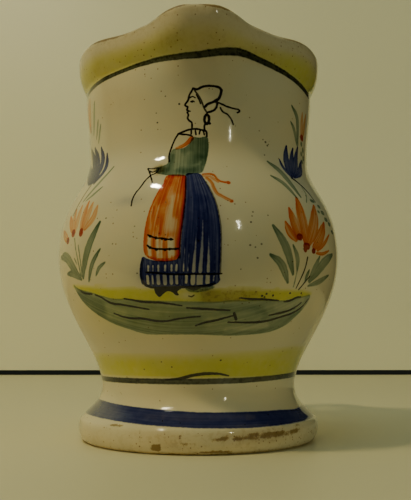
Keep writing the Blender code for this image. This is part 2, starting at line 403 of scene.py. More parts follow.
def smooth_route(points, closed=False):
    """A curve through given points, with a sample every fraction of a millimetre."""
    points = np.asarray(points, float)
    if closed:
        loop = np.vstack((points[-1], points, points[0], points[1]))
    else:
        loop = np.vstack((2 * points[0] - points[1], points, 2 * points[-1] - points[-2]))
    route = []
    for before, start, end, after in zip(loop, loop[1:], loop[2:], loop[3:]):
        steps = max(2, int(np.linalg.norm(end - start) / SAMPLE))
        t = np.arange(steps)[:, None] / steps
        route.append(
            0.5
            * (
                2 * start
                + (end - before) * t
                + (2 * before - 5 * start + 4 * end - after) * t**2
                + (3 * start - before - 3 * end + after) * t**3
            )
        )
    route.append(loop[-2][None])
    return np.vstack(route)


class Painting:
    """Pigment on one piece. For each pigment and vertex it keeps how far the vertex lies
    inside the nearest stroke's edge, how thickly that stroke was laid, and how far to one
    side of the brush's way the vertex is, so that bristle marks can follow the stroke."""

    def __init__(self, places, on_sheet, outside):
        self.places = places
        self.on_sheet = on_sheet
        self.outside = outside
        self.edge = {p: np.full(len(places), -FAR) for p in PIGMENTS}
        self.load = {p: np.zeros(len(places)) for p in PIGMENTS}
        self.aside = {p: np.zeros(len(places)) for p in PIGMENTS}
        self.belts = {name: np.full((len(places), 3), (-FAR, -FAR, 0.0)) for name in BELTS}
        self.veils = np.zeros((len(places), 3))
        self.wear = np.zeros((len(places), 3))
        self.across = polar(places)[1] * SHEET_RADIUS
        self.up = places[:, 2]
        self.exposed = outside | (self.up > 150.0)

    def measure(self, sheet_route, margin):
        """Vertices near a route, with their distance from it, the share of its length
        where that is, and how far to the right of its way they lie."""
        route = self.on_sheet(sheet_route[:, 0], sheet_route[:, 1])
        low, high = route.min(0) - margin, route.max(0) + margin
        near = self.outside & np.all((self.places > low) & (self.places < high), axis=1)
        near = np.flatnonzero(near)
        best = np.full(len(near), np.inf)
        share = np.zeros(len(near))
        side = np.ones(len(near))
        here = self.places[near]
        x, y = self.across[near], self.up[near]
        count = len(route) - 1
        for i, (start, end) in enumerate(zip(route, route[1:])):
            span = end - start
            t = np.clip((here - start) @ span / max(span @ span, 1e-9), 0, 1)
            gap = here - start - t[:, None] * span
            distance = np.einsum("ij,ij->i", gap, gap)
            closer = distance < best
            best = np.where(closer, distance, best)
            share = np.where(closer, (i + t) / count, share)
            way = sheet_route[i + 1] - sheet_route[i]
            turn = way[0] * (y - sheet_route[i, 1]) - way[1] * (x - sheet_route[i, 0])
            side = np.where(closer, np.sign(turn), side)
        distance = np.sqrt(best)
        return near, distance, share, side * distance

    def lay(self, pigment, near, inside, load, aside):
        over = inside > self.edge[pigment][near]
        for kept, new in ((self.edge, inside), (self.load, load), (self.aside, aside)):
            kept[pigment][near] = np.where(over, new, kept[pigment][near])

    def stroke(self, pigment, points, widths, loads=1.0):
        """A brush stroke with widths and loads given at even shares of its length."""
        widths, loads = np.atleast_1d(widths), np.atleast_1d(loads)
        near, distance, share, aside = self.measure(smooth_route(points), max(widths) / 2 + FAR)
        half = np.interp(share, np.linspace(0, 1, len(widths)), widths) / 2
        load = np.interp(share, np.linspace(0, 1, len(loads)), loads)
        self.lay(pigment, near, half - distance, load, aside + points[0][0])

    def each(self, work, pigment, rows):
        """The same kind of brush work for every row of its values."""
        for row in rows:
            work(pigment, *row)

    def petal(self, pigment, points, width, load=1.0):
        """A stroke that starts at a point and swells before it stops."""
        widths = width * np.array((0.25, 0.80, 1.0, 0.95, 0.5))
        loads = load * np.array((1.4, 1.0, 0.8, 0.9, 1.2))
        self.stroke(pigment, points, widths, loads)

    def leaf(self, pigment, points, width, load=1.0):
        """A stroke that is pointed at both ends."""
        widths = width * np.array((0.3, 0.85, 1.05, 0.85, 0.3))
        loads = load * np.array((2.2, 1.25, 1.05, 1.2, 1.6))
        self.stroke(pigment, points, widths, loads)

    def dot(self, pigment, place, across, up=None, load=1.0):
        """A blob of these two widths."""
        up = across if up is None else up
        x, y = place
        half = max(abs(across - up) / 2, 0.05)
        if across >= up:
            self.stroke(pigment, ((x - half, y), (x + half, y)), up, load)
        else:
            self.stroke(pigment, ((x, y - half), (x, y + half)), across, load)

    def area(self, pigment, outline, load=1.0, flow=None):
        """A filled shape inside a closed outline. The bristle marks follow the lines where
        flow, a function of across and up, stays the same."""
        route = smooth_route(outline, closed=True)
        near, distance, _, _ = self.measure(route, FAR)
        x, y = self.across[near], self.up[near]
        within = np.zeros(len(near), bool)
        for (x0, y0), (x1, y1) in zip(route, np.roll(route, -1, axis=0)):
            crosses = (y0 > y) != (y1 > y)
            at = x0 + (y - y0) / (y1 - y0 if y1 != y0 else 1e-9) * (x1 - x0)
            within ^= crosses & (x < at)
        aside = x if flow is None else flow(x, y)
        self.lay(pigment, near, np.where(within, distance, -distance), load, aside)

    def belt(self, name, top, bottom, loads):
        """A band right round the pot between two heights, kept apart from the strokes."""
        self.belts[name][:] = np.stack((top - self.up, self.up - bottom, loads), axis=1)
        self.belts[name][~self.outside] = (-FAR, -FAR, 0.0)

    def level(self, line):
        """The value that a line of (across, value) has at each vertex, wrapped round."""
        line = np.asarray(line, float)
        turn = math.tau * SHEET_RADIUS
        return np.interp(self.across, line[:, 0], line[:, 1], period=turn)

    def deepen(self, pigment, points, widths, load):
        """More or less pigment along a soft stroke, inside what is already painted."""
        widths = np.atleast_1d(widths)
        near, distance, share, _ = self.measure(smooth_route(points), max(widths) + 1.0)
        half = np.interp(share, np.linspace(0, 1, len(widths)), widths) / 2
        soft = smooth_step(1.25 - distance / (1.6 * half))
        self.load[pigment][near] = np.maximum(self.load[pigment][near] + load * soft, 0.05)

    def scrape(self, pigment, points, widths):
        """A gap left bare between strokes."""
        widths = np.atleast_1d(widths)
        near, distance, share, _ = self.measure(smooth_route(points), max(widths) + FAR)
        half = np.interp(share, np.linspace(0, 1, len(widths)), widths) / 2
        edge = self.edge[pigment]
        edge[near] = np.minimum(edge[near], distance - half)

    def blur(self, kind, channel, centre, reach, amount):
        """A soft patch in a wash or in the wear, with its half-widths."""
        x = (self.across - centre[0]) / reach[0]
        y = (self.up - centre[1]) / reach[1]
        patch = amount * np.exp(-(x**2) - y**2) * self.exposed
        kind[:, channel] = np.maximum(kind[:, channel], patch)

    def nearness(self, pigments):
        """Distance from each vertex to the nearest edge of these pigments."""
        return np.min([np.abs(self.edge[p]) for p in pigments], axis=0)

    def store(self, mesh):
        layers = {"veils": self.veils, "wear": self.wear, **self.belts}
        for p in PIGMENTS:
            layers[p] = np.stack((self.edge[p], self.load[p], self.aside[p]), axis=1)
        for name, values in layers.items():
            layer = mesh.attributes.new(name, "FLOAT_VECTOR", "POINT")
            layer.data.foreach_set("vector", values.ravel())


def between(left, right):
    """Bristle marks that fan out from one line of (up, across) to another."""
    left, right = np.asarray(left), np.asarray(right)

    def flow(across, up):
        low, high = (np.interp(up, line[:, 0], line[:, 1]) for line in (left, right))
        return 10.0 * (across - low) / (high - low)

    return flow


def paint_head(p):
    """A white cap with ribbons, a plain face in profile and a pleated collar."""
    p.each(p.stroke, "ink", (
        (((-2.2, 129.6), (-0.6, 129.4), (1.6, 130.3), (4.6, 130.6), (7.6, 130.3),
         (8.8, 129.3)), 0.75),
        (((8.8, 129.3), (8.5, 127.6), (7.6, 126.0), (6.4, 125.0)), (0.9, 0.7)),
        (((7.2, 125.9), (5.6, 124.9), (3.6, 124.1), (2.2, 122.9)), 0.75),
        (((7.3, 124.8), (7.0, 123.2), (5.8, 121.8), (3.4, 121.0)), 0.65),
        (((-1.7, 129.0), (-0.2, 127.2), (1.1, 125.0), (2.0, 122.8), (3.0, 121.2)), 0.5, 0.6),
        (((7.9, 124.7), (9.4, 124.2), (11.0, 123.6), (13.6, 123.1), (16.0, 122.8), (16.4, 122.2),
         (15.6, 121.7)), 0.5),
        (((8.5, 122.9), (9.6, 121.5), (11.6, 120.6), (13.0, 119.0), (13.9, 117.2)), 0.45),
        (((3.2, 120.4), (4.0, 119.4), (3.9, 117.6), (3.1, 116.8), (2.3, 117.8), (2.4, 119.4),
         (3.2, 120.4)), 0.8),
        (((-2.4, 129.3), (-3.7, 127.2), (-4.1, 125.6), (-5.4, 123.7), (-4.3, 123.0), (-4.6, 122.0),
         (-4.0, 121.5), (-4.5, 121.0), (-4.1, 120.2), (-4.4, 118.8), (-3.5, 117.8), (-2.7, 117.2),
         (-2.7, 115.2)), 0.55),
        (((-4.3, 121.5), (-3.4, 121.4)), 0.3),
        (((-3.2, 124.9), (-2.4, 125.2), (-1.8, 124.9)), 0.35),
        (((-3.4, 126.4), (-2.4, 126.8), (-1.4, 126.3)), 0.4),
        (((-0.9, 127.4), (0.0, 125.8), (0.7, 124.2)), 0.35),
        (((2.4, 116.6), (2.2, 115.6), (2.3, 114.6)), 0.5),
        (((-8.2, 113.2), (-6.2, 113.9), (-3.8, 114.7), (-1.0, 114.9), (1.4, 114.5), (2.9, 114.0),
         (3.2, 112.2)), 0.55),
        (((-8.2, 113.2), (-6.4, 113.0), (-4.4, 112.8), (-2.6, 112.2)), 0.5),
        (((-2.9, 114.9), (-3.0, 113.0)), 0.4),
        (((-1.4, 114.6), (-1.1, 112.8)), 0.4),
        (((0.6, 114.5), (0.2, 113.0)), 0.4),
        (((1.8, 114.2), (2.2, 112.7)), 0.4),
        (((-8.2, 113.1), (-9.6, 111.0), (-10.8, 108.0), (-11.4, 105.0), (-11.1, 102.4)), 0.45),
    ))
    p.each(p.dot, "ink", (((4.3, 117.0), 0.7), ((-2.6, 124.8), 0.45)))


def paint_bodice(p):
    """A green bodice, and a thin hand on a stick."""
    p.area(
        "green",
        (
            (-10.0, 107.4), (-6.2, 107.6), (-3.6, 109.6), (-2.4, 111.8), (0.4, 111.6), (3.2, 112.0),
            (3.8, 109.0), (3.4, 105.0), (2.4, 101.0), (1.0, 97.6), (-1.6, 97.2), (-5.0, 96.2),
            (-10.0, 96.6), (-13.8, 97.4), (-15.4, 98.4), (-15.2, 100.3), (-12.8, 100.9),
            (-11.5, 101.8), (-11.2, 104.4),
        ),
        1.5,
    )
    p.each(p.deepen, "green", (
        (((1.2, 112.0), (1.4, 109.0), (0.8, 105.5)), 4.4, 0.85),
        (((2.9, 110.5), (2.9, 106.0), (1.8, 101.0)), 1.3, 0.6),
        (((-2.4, 110.0), (-3.6, 107.6), (-6.0, 106.6)), 1.6, 0.5),
        (((0.2, 103.5), (-1.0, 101.5), (-0.6, 99.0)), 3.0, 0.6),
        (((-6.6, 98.6), (-4.6, 98.2), (-2.4, 98.4)), 2.0, 0.9),
        (((-10.0, 105.0), (-10.4, 102.0), (-10.8, 99.0)), 0.9, 0.7),
        (((-8.0, 106.4), (-7.6, 103.0), (-7.6, 99.8)), 1.8, -0.45),
        (((-4.0, 106.0), (-4.6, 102.0), (-4.4, 100.4)), 1.0, -0.25),
        (((1.6, 103.0), (0.0, 101.0), (-1.6, 100.6)), 0.5, -0.6),
        (((-15.0, 99.4), (-13.6, 99.0), (-12.0, 98.6)), 2.2, 0.6),
    ))
    p.blur(p.veils, STAIN, (-14.2, 99.3), (1.9, 1.5), 1.5)
    p.stroke("iron", ((-8.7, 107.7), (-6.2, 108.6), (-4.4, 109.8), (-2.8, 111.4)), (0.9, 1.6),
        (0.7, 1.4))
    p.each(p.stroke, "ink", (
        (((-18.9, 100.0), (-18.0, 98.8), (-17.2, 97.2), (-16.4, 95.6), (-15.7, 94.0)), 0.35),
        (((-18.9, 100.1), (-17.2, 99.9), (-15.2, 100.1)), 0.35),
        (((-17.2, 97.1), (-15.8, 97.6), (-14.9, 98.4), (-14.6, 99.8)), 0.35),
        (((-17.8, 99.0), (-16.6, 98.4), (-15.4, 98.9)), 0.3),
        (((-17.2, 97.0), (-18.6, 95.0), (-19.8, 92.4), (-21.0, 90.4), (-21.7, 88.0),
         (-21.7, 85.6)), 0.38),
    ))


def paint_apron(p):
    """An orange apron with two rows of black trimming at its hem."""
    p.area(
        "iron",
        (
            (-11.0, 96.4), (-8.0, 96.8), (-4.6, 96.2), (-4.1, 93.0), (-4.1, 87.0), (-4.6, 80.0),
            (-5.2, 74.0), (-5.5, 69.0), (-5.8, 66.6), (-8.4, 65.6), (-12.0, 65.6), (-15.2, 67.0),
            (-16.4, 68.6), (-16.6, 73.0), (-16.0, 79.0), (-14.8, 85.0), (-13.2, 90.0),
            (-11.8, 93.2),
        ),
        0.72,
        between(
            ((66, -16.4), (73, -16.6), (79, -16.0), (85, -14.8), (90, -13.2), (96, -11.0)),
            ((66, -5.8), (74, -5.2), (80, -4.6), (87, -4.1), (96, -4.2)),
        ),
    )
    p.each(p.deepen, "iron", (
        (((-11.6, 94.5), (-13.4, 89.5), (-15.3, 84.0), (-16.0, 78.0), (-16.4, 72.0),
         (-16.3, 68.4)), 1.2, 1.5),
        (((-4.7, 95.8), (-4.6, 88.0), (-5.1, 80.0), (-5.8, 73.0), (-6.0, 67.5)), 1.3, 1.8),
        (((-5.8, 95.0), (-6.2, 88.0), (-6.8, 81.0)), 0.9, 1.0),
        (((-9.4, 96.0), (-10.6, 92.4), (-11.8, 88.0), (-12.2, 85.8)), 1.2, 1.0),
        (((-10.6, 84.6), (-11.2, 79.0), (-11.6, 75.0)), 1.0, 1.0),
        (((-13.8, 84.6), (-13.6, 80.0), (-13.4, 76.4)), 0.7, 0.5),
        (((-8.4, 95.6), (-8.9, 90.0), (-9.6, 85.0)), 0.8, 0.4),
        (((-11.0, 96.2), (-7.5, 96.4), (-4.7, 95.9)), 1.1, 0.9),
        (((-13.5, 73.6), (-13.6, 70.0), (-13.4, 66.4)), 0.9, 0.7),
        (((-9.9, 73.0), (-9.9, 70.0), (-9.7, 66.0)), 0.9, 0.6),
        (((-15.4, 66.9), (-12.0, 65.9), (-8.8, 65.9), (-6.2, 67.0)), 1.0, 1.2),
        (((-7.4, 88.0), (-8.2, 83.0), (-8.6, 77.0)), 2.6, -0.55),
        (((-12.6, 90.6), (-14.4, 84.0), (-14.9, 77.0)), 0.5, -0.4),
        (((-12.2, 84.0), (-12.5, 78.0)), 0.8, -0.4),
        (((-14.9, 73.6), (-14.9, 70.0), (-14.7, 67.2)), 1.2, -0.8),
        (((-12.3, 73.0), (-12.2, 70.0), (-12.0, 66.8)), 0.9, -0.7),
        (((-11.0, 72.4), (-11.1, 70.0), (-11.0, 66.8)), 0.7, -0.6),
        (((-8.3, 72.4), (-8.3, 70.0), (-8.1, 67.0)), 2.0, -0.8),
    ))
    p.stroke("ink", ((-15.3, 74.7), (-14.0, 74.0), (-12.6, 73.4), (-11.0, 73.4), (-9.2, 72.9),
        (-7.6, 72.8)), 0.4)
    for place in ((-14.6, 74.2), (-12.8, 73.5), (-10.9, 73.2), (-9.8, 72.9), (-8.2, 72.9)):
        p.dot("ink", place, 0.9, 0.8)
    p.stroke("ink", ((-15.5, 71.1), (-14.4, 70.2), (-12.6, 69.8), (-10.4, 69.6), (-8.4, 69.6),
        (-6.0, 69.7)), 0.45)
    for place in ((-14.6, 70.3), (-12.6, 69.6), (-10.0, 69.4), (-8.6, 69.6), (-6.9, 69.6)):
        p.dot("ink", place, 0.9, 0.8)


def paint_skirt(p):
    """A blue skirt in long strokes, with a pale hem, an underskirt and dark shoes."""
    p.area(
        "cobalt",
        (
            (-4.3, 96.9), (-1.5, 97.2), (0.6, 96.8), (2.2, 94.0), (3.8, 90.0), (5.1, 86.0),
            (6.0, 81.0), (6.5, 75.0), (6.5, 69.0), (6.3, 62.0), (6.4, 59.2), (5.4, 58.0),
            (2.0, 57.4), (-5.2, 57.4), (-5.4, 62.0), (-5.3, 67.0), (-5.0, 74.0), (-4.4, 81.0),
            (-4.0, 88.0), (-4.2, 93.0),
        ),
        1.4,
        between(
            ((57, -5.3), (67, -5.3), (74, -5.0), (81, -4.4), (88, -4.0), (97, -4.3)),
            ((57, 6.4), (75, 6.5), (81, 6.0), (86, 5.1), (90, 3.8), (94, 2.2), (97, 0.8)),
        ),
    )
    p.blur(p.veils, BLUE, (0.8, 72.0), (4.8, 14.0), 0.55)
    p.blur(p.veils, BLUE, (-11.0, 61.0), (6.5, 3.4), 0.50)
    p.blur(p.veils, BLUE, (-23.0, 87.6), (5.0, 1.8), 0.16)
    p.each(p.scrape, "cobalt", (
        (((1.5, 82.0), (1.2, 78.0), (1.0, 70.0), (0.5, 62.2)), (0.05, 0.5, 1.1, 1.5)),
        (((-0.4, 77.0), (-0.9, 71.0), (-1.5, 62.2)), (0.05, 0.7, 1.3)),
        (((3.0, 77.0), (3.0, 71.0), (2.9, 62.2)), (0.05, 0.6, 1.2)),
        (((-3.7, 73.0), (-4.1, 69.0), (-4.6, 62.2)), (0.05, 0.6)),
        (((-2.5, 71.0), (-2.9, 67.0), (-3.2, 62.2)), (0.05, 0.5)),
        (((4.9, 72.0), (4.7, 62.0)), (0.1, 0.25)),
        (((-3.7, 60.6), (-3.8, 58.4)), 1.0),
        (((-1.7, 60.6), (-1.8, 58.2)), 1.6),
        (((0.4, 60.6), (0.3, 58.0)), 2.2),
        (((2.8, 60.6), (2.7, 58.4)), 1.6),
        (((4.7, 60.6), (4.6, 59.0)), 0.5),
    ))
    p.area(
        "cobalt",
        (
            (-16.9, 67.2), (-15.6, 66.5), (-13.6, 65.9), (-10.0, 65.6), (-6.8, 65.9), (-5.2, 67.0),
            (-5.2, 57.0), (-9.0, 56.6), (-13.0, 56.8), (-16.0, 57.2), (-17.8, 58.4), (-18.1, 61.0),
            (-17.7, 64.6),
        ),
        1.4,
    )
    for x, width in ((-15.9, 1.1), (-14.3, 0.7), (-12.5, 1.3), (-10.4, 1.5), (-8.4, 1.2), (-6.7, 1.1)):
        p.scrape("cobalt", ((x, 58.2), (x, 60.7)), width)
    for x, width in ((-15.5, 0.8), (-14.0, 0.5), (-12.3, 0.8), (-10.2, 0.8), (-8.2, 0.8), (-6.7, 0.9)):
        p.scrape("cobalt", ((x, 62.4), (x + 0.1, 64.2)), width)
    p.stroke("cobalt", ((-16.8, 66.6), (-17.5, 64.0), (-17.8, 61.0), (-17.5, 58.6)), 1.3, 1.6)
    for points in (
        ((-5.0, 90.0), (-5.2, 80.0), (-5.8, 70.0)),
        ((6.0, 84.0), (6.6, 76.0), (6.5, 66.0), (6.4, 60.0)),
        ((0.0, 88.0), (0.2, 80.0), (0.0, 72.0)),
        ((2.2, 88.0), (2.2, 78.0), (1.9, 66.0)),
    ):
        p.deepen("cobalt", points, 1.0, 0.5)
    p.stroke("cobalt", ((-17.6, 59.0), (-16.4, 57.6), (-13.0, 56.8), (-8.0, 57.0), (-3.0, 57.0),
        (1.5, 57.2), (4.6, 58.0), (6.2, 59.4)), 0.9, 1.9)
    p.each(p.stroke, "ink", (
        (((-17.0, 66.4), (-17.6, 64.0), (-17.9, 61.0), (-17.6, 58.8), (-16.6, 57.6)), 0.7, 0.25),
        (((-16.4, 57.4), (-13.0, 56.7), (-8.0, 56.9), (-3.0, 56.9), (1.5, 57.1),
         (4.8, 58.0)), 0.6, 0.45),
        (((2.4, 93.8), (4.0, 90.0), (5.3, 86.0), (6.2, 81.0), (6.7, 75.0), (6.6, 62.0)), 0.35, 0.3),
        (((-4.4, 95.0), (-4.2, 88.0), (-4.7, 80.0), (-5.4, 73.0), (-5.6, 66.6)), 0.4, 0.4),
        (((-16.2, 62.0), (-13.0, 61.7), (-9.0, 61.2), (-4.0, 61.1), (0.0, 61.2), (4.0, 61.2),
         (7.0, 61.4)), 0.5, 0.7),
    ))
    shoes = (
        (-13.9, 55.4), (-12.7, 53.8), (-11.2, 54.9), (-9.7, 55.7), (-8.2, 55.2), (-7.4, 54.4),
        (-6.4, 54.3), (-6.8, 55.4), (-6.0, 56.9), (-13.2, 56.9),
    )
    p.area("ink", shoes, 0.9)
    p.area("cobalt", shoes, 0.8)
    p.area("green", ((-3.6, 57.0), (-3.2, 55.6), (-1.0, 55.2), (2.2, 55.6), (4.6, 56.6),
        (4.2, 57.2)), 1.5)
    p.each(p.stroke, "ink", (
        (((-3.2, 56.6), (-1.4, 56.2), (0.4, 56.6)), (0.5, 0.9, 0.4), 0.5),
        (((-3.1, 53.9), (-2.2, 53.7), (-1.4, 54.2)), 0.35, 0.5),
    ))


def paint_sash(p):
    """The orange ends of a sash, behind the skirt."""
    p.each(p.stroke, "iron", (
        (((1.4, 96.8), (3.6, 97.0), (5.2, 96.6), (6.2, 95.0), (7.6, 94.0), (9.9, 93.7)), 0.7, 1.0),
        (((1.6, 96.2), (3.8, 96.0), (5.0, 95.0), (6.4, 93.9)), 0.9, 0.45),
    ))
    p.dot("iron", (9.9, 93.7), 1.3, load=1.6)
    p.stroke("iron", ((2.6, 95.4), (4.2, 93.6), (4.9, 91.4), (5.8, 89.4), (7.8, 88.0),
        (10.2, 86.6)), 1.1, 0.6)
    p.dot("iron", (10.2, 86.6), 1.2, load=1.6)


def paint_left_spray(p):
    """An orange flower, a blue flower and leaves at the left of the figure."""
    p.each(p.dot, "red", (
        ((-42.6, 78.2), 2.6, 3.2, 0.9),
        ((-47.8, 78.6), 3.0, 3.0, 0.9),
        ((-51.8, 76.3), 2.6, 2.6, 1.2),
    ))
    p.each(p.petal, "iron", (
        (((-42.0, 90.0), (-42.6, 84.0), (-42.6, 78.2)), 3.0, 0.55),
        (((-36.2, 87.5), (-37.0, 83.0), (-40.6, 79.2)), 2.8, 0.48),
        (((-39.2, 89.0), (-40.2, 84.0), (-41.8, 79.5)), 3.0, 0.4),
        (((-53.5, 86.0), (-51.0, 82.6), (-47.8, 78.6)), 3.0, 0.7),
        (((-49.5, 88.0), (-49.0, 83.0), (-47.6, 79.0)), 2.8, 0.5),
        (((-45.8, 89.0), (-46.2, 83.5), (-46.6, 79.0)), 2.8, 0.4),
        (((-58.5, 81.0), (-55.4, 78.6), (-51.8, 76.3)), 3.2, 0.7),
    ))
    p.each(p.stroke, "green", (
        (((-46.4, 76.4), (-45.4, 72.5), (-44.0, 67.0), (-43.6, 62.0)), 0.5, 1.8),
        (((-43.8, 73.6), (-43.0, 70.0), (-42.6, 66.0), (-42.9, 62.0)), 0.5, 1.8),
    ))
    p.each(p.leaf, "green", (
        (((-33.4, 80.8), (-38.4, 71.5), (-42.4, 61.5)), 3.4, 1.15),
        (((-32.6, 71.0), (-36.6, 66.0), (-39.6, 60.0)), 1.8, 1.4),
        (((-30.8, 66.2), (-33.6, 64.4), (-35.5, 61.8)), 1.3, 1.3),
        (((-59.5, 70.8), (-52.0, 69.5), (-43.8, 61.2)), 4.2, 1.2),
        (((-53.5, 63.8), (-48.5, 63.4), (-43.6, 61.0)), 2.6, 1.2),
        (((-46.6, 69.2), (-45.8, 68.0), (-45.0, 66.6)), 0.6, 1.4),
        (((-36.4, 103.4), (-41.0, 97.5), (-46.5, 90.6)), 1.4, 1.0),
        (((-37.4, 95.2), (-41.0, 92.6), (-44.5, 90.6)), 1.1, 0.9),
        (((-53.6, 133.0), (-55.3, 127.0), (-57.4, 120.5)), 1.9, 0.9),
        (((-51.0, 125.2), (-52.6, 121.5), (-54.0, 118.0)), 1.5, 0.9),
        (((-48.8, 122.8), (-50.4, 119.4), (-51.8, 116.0)), 1.4, 0.9),
    ))
    p.each(p.petal, "cobalt", (
        (((-43.8, 110.2), (-41.9, 103.5), (-45.0, 98.0)), 2.4, 1.55),
        (((-49.0, 113.6), (-46.4, 107.5), (-45.6, 99.0)), 3.2, 1.55),
        (((-56.2, 115.0), (-51.6, 108.6), (-47.0, 98.8)), 3.8, 1.55),
        (((-63.0, 116.0), (-56.0, 109.0), (-48.0, 98.8)), 4.2, 1.55),
        (((-70.0, 110.5), (-60.0, 105.8), (-49.0, 98.6)), 3.6, 1.55),
    ))
    p.stroke("ink", ((-47.0, 97.5), (-49.0, 92.0), (-51.0, 86.0)), 0.5, 0.8)
    p.each(p.petal, "iron", (
        (((-64.5, 137.0), (-64.2, 130.0), (-63.0, 124.0)), 3.2, 0.7),
        (((-59.8, 136.0), (-60.8, 130.0), (-62.2, 124.0)), 3.0, 0.45),
    ))
    p.dot("red", (-62.3, 124.0), 2.2, 2.8, 0.9)


def paint_right_spray(p):
    """The same kind of flowers and leaves at the right, with dotted sprigs."""
    p.each(p.dot, "red", (
        ((34.0, 75.6), 3.0, 2.5, 1.0),
        ((37.2, 72.6), 3.6, 2.4, 1.0),
        ((36.6, 71.6), 1.8, 2.6, 1.0),
        ((40.8, 71.2), 2.3, 1.9, 1.1),
    ))
    p.each(p.petal, "iron", (
        (((28.4, 80.4), (29.8, 77.0), (32.2, 74.4)), 3.2, 0.95),
        (((30.9, 85.8), (32.1, 80.4), (33.8, 75.4)), 3.9, 0.95),
        (((36.0, 90.4), (36.0, 82.4), (36.9, 74.2)), 5.4, 0.95),
        (((45.4, 88.8), (42.4, 81.8), (38.4, 74.2)), 5.8, 0.85),
        (((49.6, 82.8), (46.6, 78.6), (41.2, 72.6)), 5.0, 0.95),
        (((52.8, 79.0), (48.0, 75.0), (43.0, 71.6)), 1.6, 0.95),
        (((51.5, 72.6), (46.5, 70.8), (42.4, 70.6)), 1.2, 0.95),
    ))
    p.each(p.leaf, "green", (
        (((23.6, 78.6), (28.0, 71.6), (31.8, 62.2)), 3.4, 1.0),
        (((22.4, 68.4), (26.6, 65.4), (30.2, 59.2)), 3.0, 1.0),
        (((31.0, 72.4), (33.0, 68.0), (33.4, 63.4)), 1.9, 0.9),
        (((54.8, 71.4), (47.4, 67.2), (40.4, 60.2)), 4.2, 0.9),
        (((53.0, 63.4), (46.5, 60.6), (40.2, 58.6)), 2.2, 0.9),
        (((44.6, 69.6), (42.2, 65.4), (39.8, 60.4)), 2.2, 0.9),
        (((39.2, 64.2), (38.4, 61.6), (38.0, 60.0)), 1.5, 1.3),
        (((28.4, 104.4), (33.8, 100.4), (38.6, 91.4)), 2.7, 1.0),
        (((27.4, 98.4), (32.2, 95.8), (36.2, 90.6)), 2.0, 1.0),
        (((43.8, 129.2), (49.2, 125.0), (51.0, 115.2)), 2.5, 1.0),
        (((43.8, 123.0), (47.2, 120.2), (50.0, 114.8)), 1.9, 0.9),
    ))
    p.stroke("green", ((33.4, 63.2), (33.2, 60.0), (33.0, 57.8)), 0.35, 1.8)
    p.each(p.stroke, "ink", (
        (((37.8, 68.6), (36.8, 64.0), (34.4, 57.4)), (0.6, 0.35), 0.6),
        (((40.0, 62.0), (37.8, 59.4), (35.8, 57.0)), 0.4, 0.6),
    ))
    p.stroke("green", ((42.4, 96.0), (43.0, 93.4), (41.0, 89.6)), 0.4, 1.6)
    p.each(p.petal, "cobalt", (
        (((35.4, 106.6), (36.4, 102.8), (39.2, 99.4)), 1.6, 1.4),
        (((41.2, 112.8), (39.9, 106.4), (38.6, 100.4)), 3.6, 1.4),
        (((46.2, 112.8), (43.8, 106.8), (39.8, 100.4)), 3.2, 1.4),
        (((50.9, 114.4), (47.0, 107.0), (40.4, 100.2)), 3.4, 1.4),
        (((54.5, 109.6), (49.0, 104.2), (41.2, 100.2)), 3.0, 1.4),
    ))
    p.stroke("ink", ((38.6, 99.2), (41.4, 97.8), (45.0, 94.8), (48.0, 91.0)), (0.8, 0.3))
    p.each(p.petal, "iron", (
        (((53.8, 129.0), (54.2, 124.0), (54.8, 119.2)), 2.8, 0.5),
        (((58.5, 129.5), (57.4, 124.0), (55.8, 119.2)), 3.0, 0.5),
    ))
    p.dot("red", (55.4, 119.2), 4.0, 2.4, 0.9)
    p.each(p.dot, "green", (
        ((55.0, 116.6), 1.9, 2.0, 1.5),
        ((57.4, 114.6), 2.0, 2.2, 1.5),
        ((55.0, 112.6), 1.8, 1.8, 1.5),
        ((57.8, 111.4), 2.0, 2.2, 1.5),
        ((55.8, 109.4), 1.7, 1.8, 1.5),
        ((45.6, 91.0), 3.2, 1.3, 1.5),
        ((49.6, 89.4), 2.4, 1.5, 1.5),
        ((47.6, 87.0), 1.8, 1.0, 1.5),
        ((51.2, 87.2), 3.2, 1.6, 1.5),
        ((52.6, 84.8), 3.2, 1.6, 1.5),
        ((55.2, 83.4), 3.0, 1.6, 1.5),
        ((57.0, 80.6), 2.6, 1.6, 1.5),
    ))


